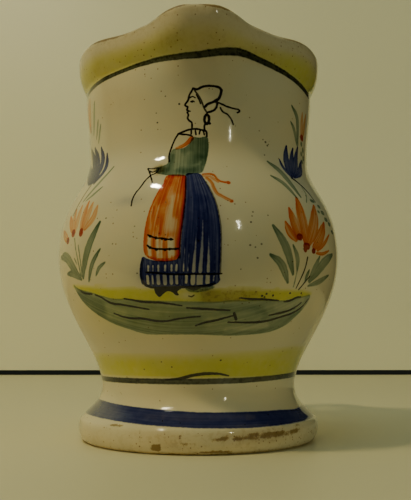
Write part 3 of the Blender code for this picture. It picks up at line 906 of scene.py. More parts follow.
def paint_ground(p):
    """A yellow strip to stand on, over a green bank with dark lines."""
    p.area(
        "green",
        (
            (-50.0, 59.6), (-49.5, 57.5), (-47.0, 53.5), (-43.0, 50.0), (-38.0, 47.0), (-33.0, 44.8),
            (-27.0, 43.0), (-20.0, 41.2), (-10.0, 41.0), (0.0, 41.0), (8.0, 40.7), (15.0, 40.7),
            (25.0, 41.5), (30.0, 42.5), (35.0, 44.5), (38.0, 47.0), (41.0, 50.0), (43.0, 53.5),
            (43.0, 55.2), (42.0, 55.5), (38.0, 54.5), (30.0, 53.0), (20.0, 52.8), (10.0, 52.5),
            (5.0, 52.0), (-10.0, 52.3), (-20.0, 52.8), (-25.0, 53.4), (-30.0, 53.5), (-35.0, 54.8),
            (-40.0, 56.2), (-47.0, 57.9),
        ),
        1.15,
        lambda across, up: up - 0.006 * (across + 5.0) ** 2,
    )
    p.blur(p.veils, YELLOW, (-20.0, 48.0), (30.0, 7.0), 0.14)
    p.each(p.deepen, "green", (
        (((-46.5, 55.0), (-42.0, 52.0), (-38.0, 50.5)), 5.0, 0.9),
        (((-40.0, 48.3), (-33.0, 45.4), (-24.0, 43.0), (-10.0, 41.8), (8.0, 41.5), (22.0, 42.0),
         (32.0, 44.0), (40.0, 50.0)), 1.2, 0.5),
        (((-24.0, 46.0), (-12.0, 45.2), (0.0, 45.0)), 4.0, 0.45),
        (((8.0, 49.5), (20.0, 50.0), (24.0, 48.0), (24.0, 46.5)), 2.0, 0.5),
        (((10.0, 42.6), (18.0, 43.3), (26.0, 44.2)), 1.6, -0.4),
        (((28.0, 50.6), (34.0, 51.6), (39.0, 53.4)), 2.0, -0.3),
        (((-34.0, 51.0), (-26.0, 48.8), (-14.0, 48.0)), 2.0, -0.25),
    ))
    for points in (
        ((-46.3, 57.2), (-44.5, 56.3), (-42.0, 55.8), (-39.5, 55.6)),
        ((-38.0, 55.2), (-35.5, 54.3), (-33.0, 52.8), (-30.5, 51.8), (-27.0, 51.4), (-22.0, 50.5),
            (-17.0, 49.6)),
        ((-25.5, 53.4), (-22.5, 52.9), (-19.0, 52.2), (-14.0, 51.9), (-11.0, 51.6), (-5.5, 50.7)),
        ((-3.8, 50.0), (2.0, 49.6), (10.5, 49.2)),
        ((-31.5, 48.5), (-28.5, 47.4), (-25.0, 46.7), (-20.0, 46.5), (-15.5, 45.7), (-11.0, 45.6),
            (-6.0, 46.5), (0.5, 47.1)),
        ((-1.0, 44.0), (2.0, 45.0), (6.0, 45.8), (12.2, 47.5)),
        ((10.5, 45.2), (20.0, 45.2), (26.0, 45.9), (30.0, 47.0), (36.0, 48.7), (40.0, 51.0),
            (42.5, 54.0)),
        ((25.7, 47.7), (30.0, 48.6), (34.0, 49.6), (37.0, 51.0), (39.0, 52.5)),
        ((13.5, 53.4), (17.0, 53.1), (22.0, 53.1), (28.0, 52.9)),
        ((30.5, 52.6), (33.0, 53.0), (36.0, 54.3), (37.8, 54.5)),
    ):
        p.stroke("ink", points, (0.35, 0.7, 0.6, 0.35), 0.9)
    p.each(p.stroke, "ink", (
        (((12.2, 48.2), (13.2, 46.2)), 0.8, 0.9),
        (((-15.0, 25.0), (-8.0, 25.6), (-4.0, 26.4), (0.0, 27.0), (4.0, 27.3), (9.0, 27.2),
         (13.5, 26.5)), (0.4, 1.0, 1.0, 0.4), 0.75),
    ))
    for place, width, load in (
        ((21.2, 54.3), 0.7, 1.2), ((22.7, 55.0), 0.8, 1.2), ((22.2, 53.9), 0.6, 1.2),
        ((25.3, 54.5), 0.8, 1.2), ((32.2, 55.6), 0.8, 1.2), ((37.6, 55.8), 0.7, 1.0),
        ((28.7, 112.2), 0.9, 0.45), ((29.6, 111.0), 0.6, 0.5), ((27.4, 113.0), 0.5, 0.4),
        ((27.6, 107.0), 0.6, 0.4), ((30.2, 111.6), 0.4, 0.4), ((15.6, 71.2), 0.7, 0.35),
        ((17.3, 70.6), 0.5, 0.35), ((19.3, 71.8), 0.7, 0.35), ((18.1, 67.0), 0.7, 0.35),
        ((16.0, 79.3), 0.7, 0.45), ((16.9, 83.0), 0.6, 0.3), ((16.5, 81.5), 0.5, 0.3),
        ((22.0, 82.2), 0.5, 0.4), ((12.9, 63.0), 0.4, 0.4), ((-7.7, 124.2), 0.7, 0.7),
        ((-13.2, 127.4), 0.5, 0.4), ((-17.2, 121.6), 0.4, 0.4), ((-16.8, 118.0), 0.5, 0.6),
        ((-30.9, 82.0), 0.6, 0.5), ((-27.5, 72.4), 0.5, 0.3), ((-19.8, 78.0), 0.5, 0.3),
        ((-19.3, 61.8), 0.5, 0.3), ((0.0, 72.3), 0.6, 0.7), ((-16.0, 31.4), 0.5, 0.5),
        ((9.4, 32.0), 0.6, 0.8), ((-11.6, 29.6), 0.5, 0.6), ((-25.0, 28.6), 0.6, 0.4),
    ):
        p.dot("ink", place, width * 0.75, load=load * 0.8)


def paint_bands(p):
    """The lines and bands that run right round."""
    line = p.level(CREASE_LINE)
    half = p.level(
        ((-157, 0.8), (-55, 0.85), (-25, 0.85), (-8, 0.95), (0, 1.05), (8, 1.1), (18, 1.15),
            (24, 1.0), (50, 1.05))
    )
    load = p.level(
        ((-157, 0.75), (-55, 0.8), (-20, 0.8), (-8, 0.78), (5, 0.85), (20, 1.0), (28, 1.0), (60, 0.95))
    )
    p.belt("crease_line", line + half, line - half, load)
    line = p.level(LOWER_LINE)
    half = p.level(((-157, 0.8), (-40, 0.9), (0, 0.95), (40, 0.9)))
    load = p.level(((-157, 0.7), (-60, 0.9), (-30, 0.95), (0, 0.85), (30, 0.85)))
    p.belt("lower_line", line + half, line - half, load)
    top = p.level(
        ((-157, 15.4), (-55, 16.0), (-40, 15.5), (-20, 14.8), (0, 14.0), (20, 13.8), (40, 13.6),
            (50, 13.2), (100, 14.2))
    )
    bottom = p.level(
        ((-157, 10.4), (-55, 10.8), (-40, 10.6), (-20, 9.9), (0, 9.3), (20, 9.0), (45, 9.3), (100, 9.8))
    )
    load = p.level(
        ((-157, 1.2), (-65, 1.1), (-38, 1.35), (-30, 1.6), (0, 1.85), (40, 1.85), (50, 1.5), (100, 1.3))
    )
    p.belt("foot_band", top, bottom, load)


def paint_washes(p):
    """Thin colour with soft edges: the yellow bands and strip, and brown stains."""
    up = p.up
    line = p.level(CREASE_LINE)
    collar = smooth_step((up - line) / 1.2) * smooth_step((151.5 - up) / 7.0)
    collar *= p.level(
        ((-157, 0.6), (-50, 0.6), (-22, 0.52), (-10, 0.45), (0, 0.24), (12, 0.28), (28, 0.48),
            (45, 0.65), (60, 0.6))
    )
    top = p.level(((-157, 35.0), (-40, 35.2), (0, 35.0), (30, 36.5), (45, 37.8), (60, 37.8)))
    band = smooth_step((top - up) / 3.4) * smooth_step((up - 25.2) / 1.4)
    band *= 0.8 + 0.25 * smooth_step((33.0 - up) / 3.0)
    band *= p.level(((-157, 0.55), (-30, 0.65), (5, 0.75), (30, 0.68), (60, 0.55)))
    strip_top = p.level(
        ((-53, 60.6), (-49, 60.0), (-40, 59.0), (-30, 57.8), (-20, 57.3), (-10, 57.0), (20, 57.0),
            (38, 57.5), (44, 57.0))
    )
    strip_low = p.level(
        ((-49, 58.6), (-47, 57.5), (-40, 56.2), (-35, 54.8), (-30, 53.5), (-20, 52.8), (-10, 52.3),
            (5, 52.0), (20, 52.8), (30, 53.0), (38, 54.5), (43, 55.6))
    )
    strip = smooth_step((strip_top - up) / 1.8) * smooth_step((up - strip_low + 0.5) / 0.8)
    strip *= smooth_step((p.across + 52.0) / 3.0) * smooth_step((44.5 - p.across) / 3.0)
    bare = np.exp(-(((p.across + 4.0) / 3.0) ** 2) - ((up - 54.2) / 1.8) ** 2)
    yellow = np.maximum.reduce((collar * 0.85, band, strip * 0.85 * (1 - 0.8 * bare)))
    p.veils[:, YELLOW] = np.maximum(p.veils[:, YELLOW], yellow * p.outside)

    brown = smooth_step(p.across / 2.0) * smooth_step((30.0 - p.across) / 22.0) * strip * 0.75
    contact = smooth_step((1.3 - up) / 1.3) * 1.1
    p.veils[:, STAIN] = np.maximum.reduce((p.veils[:, STAIN], brown, contact))


def add_wear(p):
    """How many specks there are, the glaze worn down to the clay, and grime."""
    up = p.up
    rim = 0.16 * smooth_step((up - 145.0) / 6.0) + 0.25 * smooth_step((up - 152.0) / 3.0)
    p.wear[:, GRIME] = np.maximum(rim, 0.20 * smooth_step((8.5 - up) / 3.0))
    for centre, reach, amount in (
        ((-10.0, 146.0), (7.0, 3.0), 0.35),
        ((6.0, 144.5), (9.0, 4.0), 0.32),
        ((24.0, 146.0), (12.0, 4.0), 0.25),
        ((-46.0, 143.0), (8.0, 3.0), 0.25),
        ((-40.0, 130.0), (14.0, 5.0), 0.12),
        ((24.0, 6.0), (24.0, 3.0), 0.75),
        ((-10.0, 5.0), (18.0, 3.2), 0.50),
    ):
        p.blur(p.wear, GRIME, centre, reach, amount)
    p.wear[:, SPECKS] = 0.10 + 0.28 * smooth_step((up - 140) / 4) + 0.60 * smooth_step((9.0 - up) / 2)
    for centre, reach, amount in (
        ((-10.0, 146.0), (9.0, 4.0), 0.60),
        ((6.0, 141.0), (12.0, 3.0), 0.35),
        ((-35.0, 144.0), (16.0, 4.0), 0.35),
        ((12.0, 134.0), (10.0, 5.0), 0.25),
        ((27.0, 112.0), (7.0, 6.0), 0.45),
        ((17.0, 76.0), (8.0, 11.0), 0.30),
        ((-30.0, 84.0), (10.0, 8.0), 0.20),
        ((-14.0, 122.0), (9.0, 7.0), 0.20),
        ((8.0, 54.6), (10.0, 2.0), 0.90),
        ((30.0, 55.6), (10.0, 1.6), 0.60),
        ((-8.0, 30.0), (20.0, 3.0), 0.25),
        ((18.0, 5.5), (28.0, 3.4), 0.80),
    ):
        p.blur(p.wear, SPECKS, centre, reach, amount)
    for centre, reach, amount in (
        ((8.0, 5.3), (6.0, 0.8), 0.82),
        ((15.0, 5.8), (6.0, 0.9), 0.88),
        ((20.5, 6.3), (4.0, 1.5), 0.90),
        ((30.0, 6.5), (10.0, 0.9), 0.95),
        ((40.0, 6.9), (6.0, 0.8), 0.92),
        ((43.0, 8.2), (2.5, 0.9), 0.85),
        ((24.0, 6.1), (32.0, 2.1), 0.68),
        ((-5.0, 3.8), (12.0, 1.4), 0.62),
        ((-15.5, 2.4), (2.4, 1.3), 1.3),
        ((-22.0, 5.7), (1.0, 0.8), 1.1),
        ((-7.0, 6.3), (1.0, 0.7), 1.1),
        ((6.0, 1.4), (12.0, 0.9), 0.85),
        ((-34.0, 9.0), (7.0, 0.7), 0.75),
        ((-9.0, 155.3), (7.0, 1.0), 1.15),
        ((6.0, 155.2), (7.0, 1.2), 1.1),
        ((-40.0, 155.0), (14.0, 1.1), 1.05),
        ((46.0, 155.0), (16.0, 1.0), 0.85),
    ):
        p.blur(p.wear, WORN, centre, reach, amount)


def paint_pot(p):
    paint_head(p)
    paint_bodice(p)
    paint_apron(p)
    paint_skirt(p)
    paint_sash(p)
    paint_left_spray(p)
    paint_right_spray(p)
    paint_ground(p)


def start_piece():
    """Deselects everything, so that the next primitive is worked on alone."""
    if bpy.context.object is not None and bpy.context.object.mode != "OBJECT":
        bpy.ops.object.mode_set(mode="OBJECT")
    bpy.ops.object.select_all(action="DESELECT")


def select_faces(piece, chosen):
    """Selects these faces alone, and leaves the piece in edit mode."""
    bpy.ops.object.mode_set(mode="EDIT")
    bpy.ops.mesh.select_mode(type="FACE")
    bpy.ops.mesh.select_all(action="DESELECT")
    bpy.ops.object.mode_set(mode="OBJECT")
    piece.data.polygons.foreach_set("select", chosen)
    bpy.ops.object.mode_set(mode="EDIT")


def face_values(mesh, values):
    """The least of each face's vertices' values."""
    loops = np.empty(len(mesh.loops), np.int32)
    mesh.loops.foreach_get("vertex_index", loops)
    starts = np.empty(len(mesh.polygons), np.int32)
    mesh.polygons.foreach_get("loop_start", starts)
    return np.minimum.reduceat(values[loops], starts)


def outside_of(places, wall):
    """Which vertices lie on the pot's outside, below the rounding of its lip."""
    radius, _ = polar(places)
    top = (wall.shape.rim_height - wall.shape.wall / 2) / MM + 0.01
    on_wall = radius > wall.radius(places[:, 2] * MM) / MM - 2.0
    return on_wall & (places[:, 2] < top) & (places[:, 2] > 0.05)


def true_up(places, wall):
    """Brings the vertices of the outside back onto the turned wall."""
    outside = outside_of(places, wall)
    radius, azimuth = polar(places)
    radius = np.where(outside, wall.radius(places[:, 2] * MM) / MM, radius)
    placed = places.copy()
    placed[:, 0] = radius * np.sin(azimuth)
    placed[:, 1] = AXIS_Y / MM - radius * np.cos(azimuth)
    return np.where(outside[:, None], placed, places)


def finish_piece(piece, name):
    """Names a piece, and hands it to the frame in place of the plain solid."""
    piece.name = piece.data.name = name
    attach(piece, "root")
    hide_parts("jug")


class JUG_OT_throw_pot(bpy.types.Operator):
    """Turn the pot's section round its axis, paint it and pull its lip"""

    bl_idname = "jug.throw_pot"
    bl_label = "Throw and paint the pot"

    def execute(self, context):
        shape = context.scene.jug_shape
        wall = Wall(shape)
        pot = self.throw(shape)
        for round_number, reach in enumerate(REFINE):
            self.refine(pot, wall, round_number, reach)
        places = true_up(vertex_places(pot), wall)
        painting = Painting(places, wall.place, outside_of(places, wall))
        paint_pot(painting)
        paint_bands(painting)
        paint_washes(painting)
        add_wear(painting)
        painting.store(pot.data)
        radius, azimuth = polar(places)
        radius, height = pull_lip(shape, radius * MM, places[:, 2] * MM, azimuth)
        x, y = radius * np.sin(azimuth), AXIS_Y - radius * np.cos(azimuth)
        set_places(pot, np.stack((x, y, height), axis=1) / MM)
        pot.data.shade_smooth()
        finish_piece(pot, "pot")
        return {"FINISHED"}

    def throw(self, shape):
        """The turned pot, before its lip is pulled."""
        section = pot_section(shape)
        start_piece()
        bpy.ops.mesh.primitive_circle_add(vertices=len(section), radius=shape.rim_radius)
        pot = bpy.context.object
        places = np.zeros((len(section), 3))
        places[:, 1] = (AXIS_Y - section[:, 0]) / MM
        places[:, 2] = section[:, 1] / MM
        set_places(pot, places)
        last = len(section) - 1
        closing = [set(edge.vertices) == {0, last} for edge in pot.data.edges]
        if sum(closing) != 1:
            raise RuntimeError("the section has no one edge along the axis")
        bpy.ops.object.mode_set(mode="EDIT")
        bpy.ops.mesh.select_mode(type="EDGE")
        bpy.ops.mesh.select_all(action="DESELECT")
        bpy.ops.object.mode_set(mode="OBJECT")
        pot.data.edges.foreach_set("select", closing)
        bpy.ops.object.mode_set(mode="EDIT")
        bpy.ops.mesh.delete(type="EDGE")
        bpy.ops.mesh.select_all(action="SELECT")
        bpy.ops.mesh.spin(
            steps=shape.steps, angle=math.tau, center=(0.0, AXIS_Y, 0.0), axis=(0.0, 0.0, 1.0)
        )
        bpy.ops.mesh.select_all(action="SELECT")
        bpy.ops.mesh.remove_doubles(threshold=0.01 * MM)
        bpy.ops.mesh.normals_make_consistent(inside=False)
        bpy.ops.object.mode_set(mode="OBJECT")
        return pot

    def refine(self, pot, wall, round_number, reach):
        """Cuts the faces near the edge of paint in four, and trues up the new vertices."""
        places = true_up(vertex_places(pot), wall)
        outside = outside_of(places, wall)
        painting = Painting(places, wall.place, outside)
        paint_pot(painting)
        last = round_number == len(REFINE) - 1
        distance = painting.nearness(FINE_PIGMENTS if last else PIGMENTS)
        distance = np.where(outside, distance, FAR * 2)
        select_faces(pot, face_values(pot.data, distance) < reach)
        bpy.ops.mesh.subdivide(number_cuts=1, ngon=False)
        bpy.ops.object.mode_set(mode="OBJECT")
        set_places(pot, true_up(vertex_places(pot), wall))


class Strap:
    """The handle's run from its upper end to its lower one, and its section on the way."""

    def __init__(self, shape, wall):
        self.shape, self.wall = shape, wall
        top_height = shape.rim_height - shape.collar_depth - HANDLE_TOP_DROP
        foot_height = shape.belly_height + HANDLE_FOOT_RISE
        top = np.array((wall.radius(top_height) - HANDLE_SINK, top_height))
        foot = np.array((wall.radius(foot_height) - HANDLE_SINK, foot_height))
        drop = top[1] - foot[1]
        bend = np.array((shape.handle_reach, foot[1] + BEND_HEIGHT * drop))
        span = bend[0] - top[0]
        top_pull = top + np.array((TOP_PULL[0] * span, TOP_PULL[1] * drop))
        foot_pull = foot + np.array((FOOT_PULL[0] * span, FOOT_PULL[1] * drop))
        over_bend = bend + np.array((0.0, BEND_PULLS[0] * drop))
        under_bend = bend - np.array((0.0, BEND_PULLS[1] * drop))
        self.line = np.vstack(
            (
                [top],
                bezier((top, top_pull, over_bend, bend), 200),
                bezier((bend, under_bend, foot_pull, foot), 200),
            )
        )
        steps = np.linalg.norm(np.diff(self.line, axis=0), axis=1)
        self.run = np.concatenate(((0.0,), np.cumsum(steps)))
        self.along = np.gradient(self.line, self.run, axis=0)
        outside = self.line[:, 0] > wall.radius(self.line[:, 1])
        self.start, self.end = self.run[outside][0], self.run[outside][-1]

    def place(self, side, run):
        """Points of the strap: side is the turn round its section, 0 on its outer face,
        and run the distance along it. Near its ends it spreads out onto the wall."""
        shape = self.shape
        point = np.stack([np.interp(run, self.run, self.line[:, i]) for i in (0, 1)], axis=-1)
        along = np.stack([np.interp(run, self.run, self.along[:, i]) for i in (0, 1)], axis=-1)
        along /= np.linalg.norm(along, axis=-1, keepdims=True)
        share = run / self.run[-1]
        flare = TOP_FLARE[0] * smooth_step(1 - share / TOP_FLARE[1])
        flare += FOOT_FLARE[0] * smooth_step(1 - (1 - share) / FOOT_FLARE[1])
        off_wall = np.minimum(run - self.start, self.end - run)
        t = np.clip(1 - off_wall / HANDLE_FILLET, 0, 1)
        spread = HANDLE_FILLET * (1 - np.sqrt(1 - t**2)) * 0.8
        half_width = shape.handle_width / 2 * (1 + flare) + spread
        half_depth = shape.handle_thickness / 2 * (1 + 0.8 * flare) + spread
        x = half_width * np.sin(side)
        level = half_depth * np.cos(side)
        y = point[..., 0] - along[..., 1] * level
        z = point[..., 1] + along[..., 0] * level
        on_wall = np.sqrt(np.maximum(self.wall.radius(z) ** 2 - x**2, 0)) + off_wall
        hold = smooth_step(1 - off_wall / HANDLE_HOLD)
        y = y + hold * (on_wall - y)
        return np.stack((x, y + AXIS_Y, z), axis=-1) / MM


class JUG_OT_press_handle(bpy.types.Operator):
    """Pull the strap handle, press its ends on the wall and put dashes on its back"""

    bl_idname = "jug.press_handle"
    bl_label = "Make the handle"
    sides = 56

    def execute(self, context):
        shape = context.scene.jug_shape
        strap = Strap(shape, Wall(shape))
        ends = np.array((-0.35, 0.1, 0.4, 0.8, 1.3, 1.9, 2.6, 3.4)) * MM
        middle = np.linspace(strap.start + 4.3 * MM, strap.end - 4.3 * MM, 110)
        runs = np.concatenate((strap.start + ends, middle, (strap.end - ends)[::-1]))
        start_piece()
        bpy.ops.mesh.primitive_circle_add(vertices=self.sides, radius=shape.handle_width / 2)
        handle = bpy.context.object
        bpy.ops.object.mode_set(mode="EDIT")
        bpy.ops.mesh.select_all(action="SELECT")
        bpy.ops.mesh.edge_face_add()
        for _ in runs[1:]:
            bpy.ops.mesh.extrude_region_move(TRANSFORM_OT_translate={"value": (0, 0, MM)})
        bpy.ops.object.mode_set(mode="OBJECT")
        found = vertex_places(handle)
        turn = np.arctan2(found[:, 0], found[:, 1])
        ring = np.rint(found[:, 2]).astype(int)
        places = strap.place(turn, runs[ring])
        set_places(handle, places)
        bpy.ops.object.mode_set(mode="EDIT")
        bpy.ops.mesh.select_all(action="SELECT")
        bpy.ops.mesh.normals_make_consistent(inside=False)
        bpy.ops.object.mode_set(mode="OBJECT")
        painting = Painting(places, self.outer_face(strap), np.ones(len(places), bool))
        self.dashes(painting, strap)
        painting.store(handle.data)
        handle.data.shade_smooth()
        finish_piece(handle, "handle")
        return {"FINISHED"}

    def outer_face(self, strap):
        """Where a place on the strap's back is, from millimetres across and along."""

        def place(across, along):
            width = strap.shape.handle_width / 2 / MM
            side = np.arcsin(np.clip(across / width, -0.95, 0.95))
            return strap.place(side, along * MM)

        return place

    def dashes(self, painting, strap):
        """Short blue dashes down the strap's back, as is common on such handles."""
        start, end = strap.start / MM + 12.0, strap.end / MM - 14.0
        for i, along in enumerate(np.linspace(start, end, DASH_COUNT)):
            lean = 0.5 if i % 2 else -0.4
            painting.petal("cobalt", ((-4.6, along + lean), (0.0, along),
                (4.4, along - lean)), 2.0, 1.1)


class Value:
    """A number in a material. Sums on it add Math nodes."""

    def __init__(self, recipe, socket):
        self.recipe, self.socket = recipe, socket

    def __add__(self, other):
        return self.recipe.math("ADD", self, other)

    __radd__ = __add__

    def __sub__(self, other):
        return self.recipe.math("SUBTRACT", self, other)

    def __rsub__(self, other):
        return self.recipe.math("SUBTRACT", other, self)

    def __mul__(self, other):
        return self.recipe.math("MULTIPLY", self, other)

    __rmul__ = __mul__


class Recipe:
    """The nodes of one material."""

    def __init__(self, name):
        self.material = bpy.data.materials.new(name)
        self.material.use_nodes = True
        self.tree = self.material.node_tree
        self.shader = self.tree.nodes["Principled BSDF"]

    def node(self, kind, settings=None, **values):
        """Adds a node. Settings come first, then the values or links of its sockets; a
        socket's name has _ for a space, and a number for its place is written as i0, i1."""
        node = self.tree.nodes.new(kind)
        for name, setting in (settings or {}).items():
            setattr(node, name, setting)
        for name, value in values.items():
            if name[0] == "i" and name[1:].isdigit():
                socket = node.inputs[int(name[1:])]
            else:
                socket = node.inputs[name.replace("_", " ")]
            self.feed(socket, value)
        return node

    def feed(self, socket, value):
        if isinstance(value, Value):
            self.tree.links.new(value.socket, socket)
        elif isinstance(value, bpy.types.NodeSocket):
            self.tree.links.new(value, socket)
        else:
            socket.default_value = value

    def math(self, operation, a, b=0.0):
        node = self.node("ShaderNodeMath", {"operation": operation}, i0=a, i1=b)
        return Value(self, node.outputs[0])

    def step(self, low, high, value):
        """Rises smoothly from 0 at low to 1 at high."""
        node = self.node(
            "ShaderNodeMapRange",
            {"interpolation_type": "SMOOTHSTEP"},
            Value=value,
            From_Min=low,
            From_Max=high,
        )
        return Value(self, node.outputs[0])

    def noise(self, place, scale, detail=2.0, roughness=0.5):
        node = self.node(
            "ShaderNodeTexNoise", Vector=place, Scale=scale, Detail=detail, Roughness=roughness
        )
        return Value(self, node.outputs["Fac"])

    def vector(self, operation, a, b):
        node = self.node("ShaderNodeVectorMath", {"operation": operation}, i0=a, i1=b)
        return node.outputs[0]

    def scaled(self, vector, amount):
        node = self.node("ShaderNodeVectorMath", {"operation": "SCALE"}, i0=vector, Scale=amount)
        return node.outputs[0]

    def mix(self, factor, a, b):
        node = self.node("ShaderNodeMix", {"data_type": "RGBA"}, Factor=factor, i6=a, i7=b)
        return node.outputs[2]

    def split(self, vector):
        node = self.node("ShaderNodeSeparateXYZ", Vector=vector)
        return [Value(self, socket) for socket in node.outputs]

    def attribute(self, name):
        node = self.node("ShaderNodeAttribute", {"attribute_name": name})
        return node.outputs["Vector"]

    def specks(self, place, scale, share, size):
        """Round specks in a share of a texture's cells: 1 inside, 0 outside."""
        node = self.node("ShaderNodeTexVoronoi", Vector=place, Scale=scale)
        distance = Value(self, node.outputs["Distance"])
        lot = self.split(node.outputs["Color"])[0]
        reach = self.step(1 - share, 1 - share * 0.5, lot) * size
        return self.step(0.0, size * 0.35, reach - distance)


def rgba(colour):
    return (*colour, 1.0)


def painted_glaze(paint):
    """Tin glaze with the pigments sunk in it, as their attributes say."""
    r = Recipe("painted_glaze")
    place = r.node("ShaderNodeTexCoord").outputs["Object"]
    x, y, z = r.split(place)
    waver = r.noise(place, 900.0, 2.0) - 0.5
    flow = r.noise(place, 420.0, 3.0)
    broad = r.noise(place, 130.0, 2.0)
    yellow, clay, blue = r.split(r.attribute("veils"))
    speckled, worn, grimy = r.split(r.attribute("wear"))

    def layer(colour, amount, deep):
        """Adds what a pigment takes from the light to what is taken already."""
        absorbed = tuple(-math.log(part) for part in colour)
        return r.vector("ADD", deep, r.scaled(absorbed, amount))

    def laid(inside, load, soft, pooling):
        """How much pigment lies at a distance inside the edge of a stroke."""
        cover = r.step(-soft, soft, inside + waver * 0.30)
        pooled = 1 - r.step(0.0, 0.6, inside)
        return cover * load * (1 + pooled * pooling)

    deep = (0.0, 0.0, 0.0)
    for pigment in PIGMENTS:
        edge, load, aside = r.split(r.attribute(pigment))
        bristles = r.node(
            "ShaderNodeCombineXYZ", X=aside * 1.7, Y=z * 28.0, Z=(x + y) * 16.0
        ).outputs[0]
        marks = r.step(0.30, 0.70, r.noise(bristles, 1.0, 3.0, 0.65))
        even, streaky, spread, soft = BRUSHWORK[pigment]
        texture = even + marks * streaky + flow * 0.30 + broad * 0.35
        deep = layer(getattr(paint, pigment), laid(edge + spread, load, soft, 0.3) * texture, deep)

    patches = r.step(0.38, 0.62, r.noise(place, 95.0, 4.0, 0.6))
    grains = r.step(0.50, 0.62, r.noise(place, 620.0, 3.0, 0.6))
    for belt in BELTS:
        over, under, load = r.split(r.attribute(belt))
        inside = r.math("MINIMUM", over, under)
        bristles = r.node("ShaderNodeCombineXYZ", X=over * 1.6, Y=z * 8.0, Z=(x - y) * 30.0).outputs[0]
        marks = r.noise(bristles, 1.0, 3.0, 0.65)
        amount = laid(inside, load, 0.24, 0.2) * (0.45 + marks * 0.65 + flow * 0.3)
        if belt == "foot_band":
            deep = layer(paint.cobalt, amount, deep)
        else:
            deep = layer(paint.ink, amount * (0.65 + grains * 0.3), deep)
            deep = layer(paint.green, amount * 1.1, deep)

    deep = layer(paint.yellow, yellow * (0.55 + flow * 0.5 + broad * 0.35), deep)
    deep = layer(paint.cobalt, blue * (0.6 + flow * 0.8), deep)
    deep = layer(paint.clay, clay * (0.75 + patches * 0.5) * (0.7 + grains * 0.7), deep)
    deep = layer(paint.grime, grimy * (0.55 + patches * 0.35 + grains * 0.55), deep)

    pitted = r.noise(place, 560.0, 4.0, 0.75)
    bitten = r.step(1.02, 1.22, worn + pitted)
    deep = layer(paint.clay, bitten * 1.35, deep)

    cloud = r.noise(place, 24.0, 4.0, 0.55)
    warm = tuple(g * k for g, k in zip(paint.glaze, (1.03, 0.985, 0.93)))
    cool = tuple(g * k for g, k in zip(paint.glaze, (0.95, 0.965, 0.99)))
    ground = r.mix(r.step(0.35, 0.65, cloud), rgba(warm), rgba(cool))
    fine = r.specks(place, 800.0, speckled * 0.6, 0.25)
    bold = r.specks(place, 300.0, speckled * 0.5, 0.10)
    dirt = fine * 0.9 + bold * 1.1
    deep = r.vector("ADD", deep, r.scaled((0.85, 1.15, 1.4), dirt))

    parts = r.split(deep)
    kept = [r.math("EXPONENT", part * -1) for part in parts]
    kept = r.node("ShaderNodeCombineXYZ", X=kept[0], Y=kept[1], Z=kept[2]).outputs[0]
    r.feed(r.shader.inputs["Base Color"], r.vector("MULTIPLY", ground, kept))

    rough = paint.roughness + bitten * 0.45 + broad * 0.04
    r.feed(r.shader.inputs["Roughness"], rough)
    r.shader.inputs["IOR"].default_value = GLAZE_IOR
    waves = r.noise(place, 60.0, 1.0) * 0.10
    skin = r.noise(place, 380.0, 1.0) * 0.016 + r.noise(place, 1100.0, 1.0) * 0.012
    height = waves + skin - fine * 0.02 - bold * 0.05 - bitten * 0.12
    bump = r.node("ShaderNodeBump", Height=height, Distance=MM, Strength=1.0)
    r.feed(r.shader.inputs["Normal"], bump.outputs[0])
    return r.material


class JUG_OT_glaze_jug(bpy.types.Operator):
    """Put the painted glaze on the pot and its handle"""

    bl_idname = "jug.glaze_jug"
    bl_label = "Glaze the jug"

    def execute(self, context):
        glaze = painted_glaze(context.scene.jug_paint)
        for name in ("pot", "handle"):
            piece = bpy.data.objects.get(name)
            if piece is None:
                raise RuntimeError("make the pot and the handle before they are glazed")
            piece.data.materials.clear()
            piece.data.materials.append(glaze)
        return {"FINISHED"}


def plain_surface(name, colour):
    r = Recipe(name)
    place = r.node("ShaderNodeTexCoord").outputs["Object"]
    shade = r.noise(place, 3.0, 2.0)
    darker = tuple(0.95 * part for part in colour)
    r.feed(r.shader.inputs["Base Color"], r.mix(shade, rgba(colour), rgba(darker)))
    r.shader.inputs["Roughness"].default_value = 0.45
    return r.material


def add_lamp(name, azimuth, elevation, distance, size, energy, colour, shine):
    """A lamp of this width and height that faces the middle of the pot. Azimuth is from
    the lip to the right. With shine it gives highlights alone, and without it light alone."""
    a, e = math.radians(azimuth), math.radians(elevation)
    middle = np.array((0.0, AXIS_Y, LAMP_CENTRE))
    away = np.array((math.sin(a) * math.cos(e), -math.cos(a) * math.cos(e), math.sin(e)))
    lamp = bpy.data.lights.new(name, "AREA")
    lamp.shape = "RECTANGLE"
    lamp.size, lamp.size_y = size
    lamp.energy = energy
    lamp.color = colour
    holder = bpy.data.objects.new(name, lamp)
    holder.location = middle + away * distance
    holder.rotation_euler = (math.pi / 2 - e, 0.0, a)
    holder.visible_glossy = shine
    holder.visible_diffuse = not shine
    bpy.context.scene.collection.objects.link(holder)


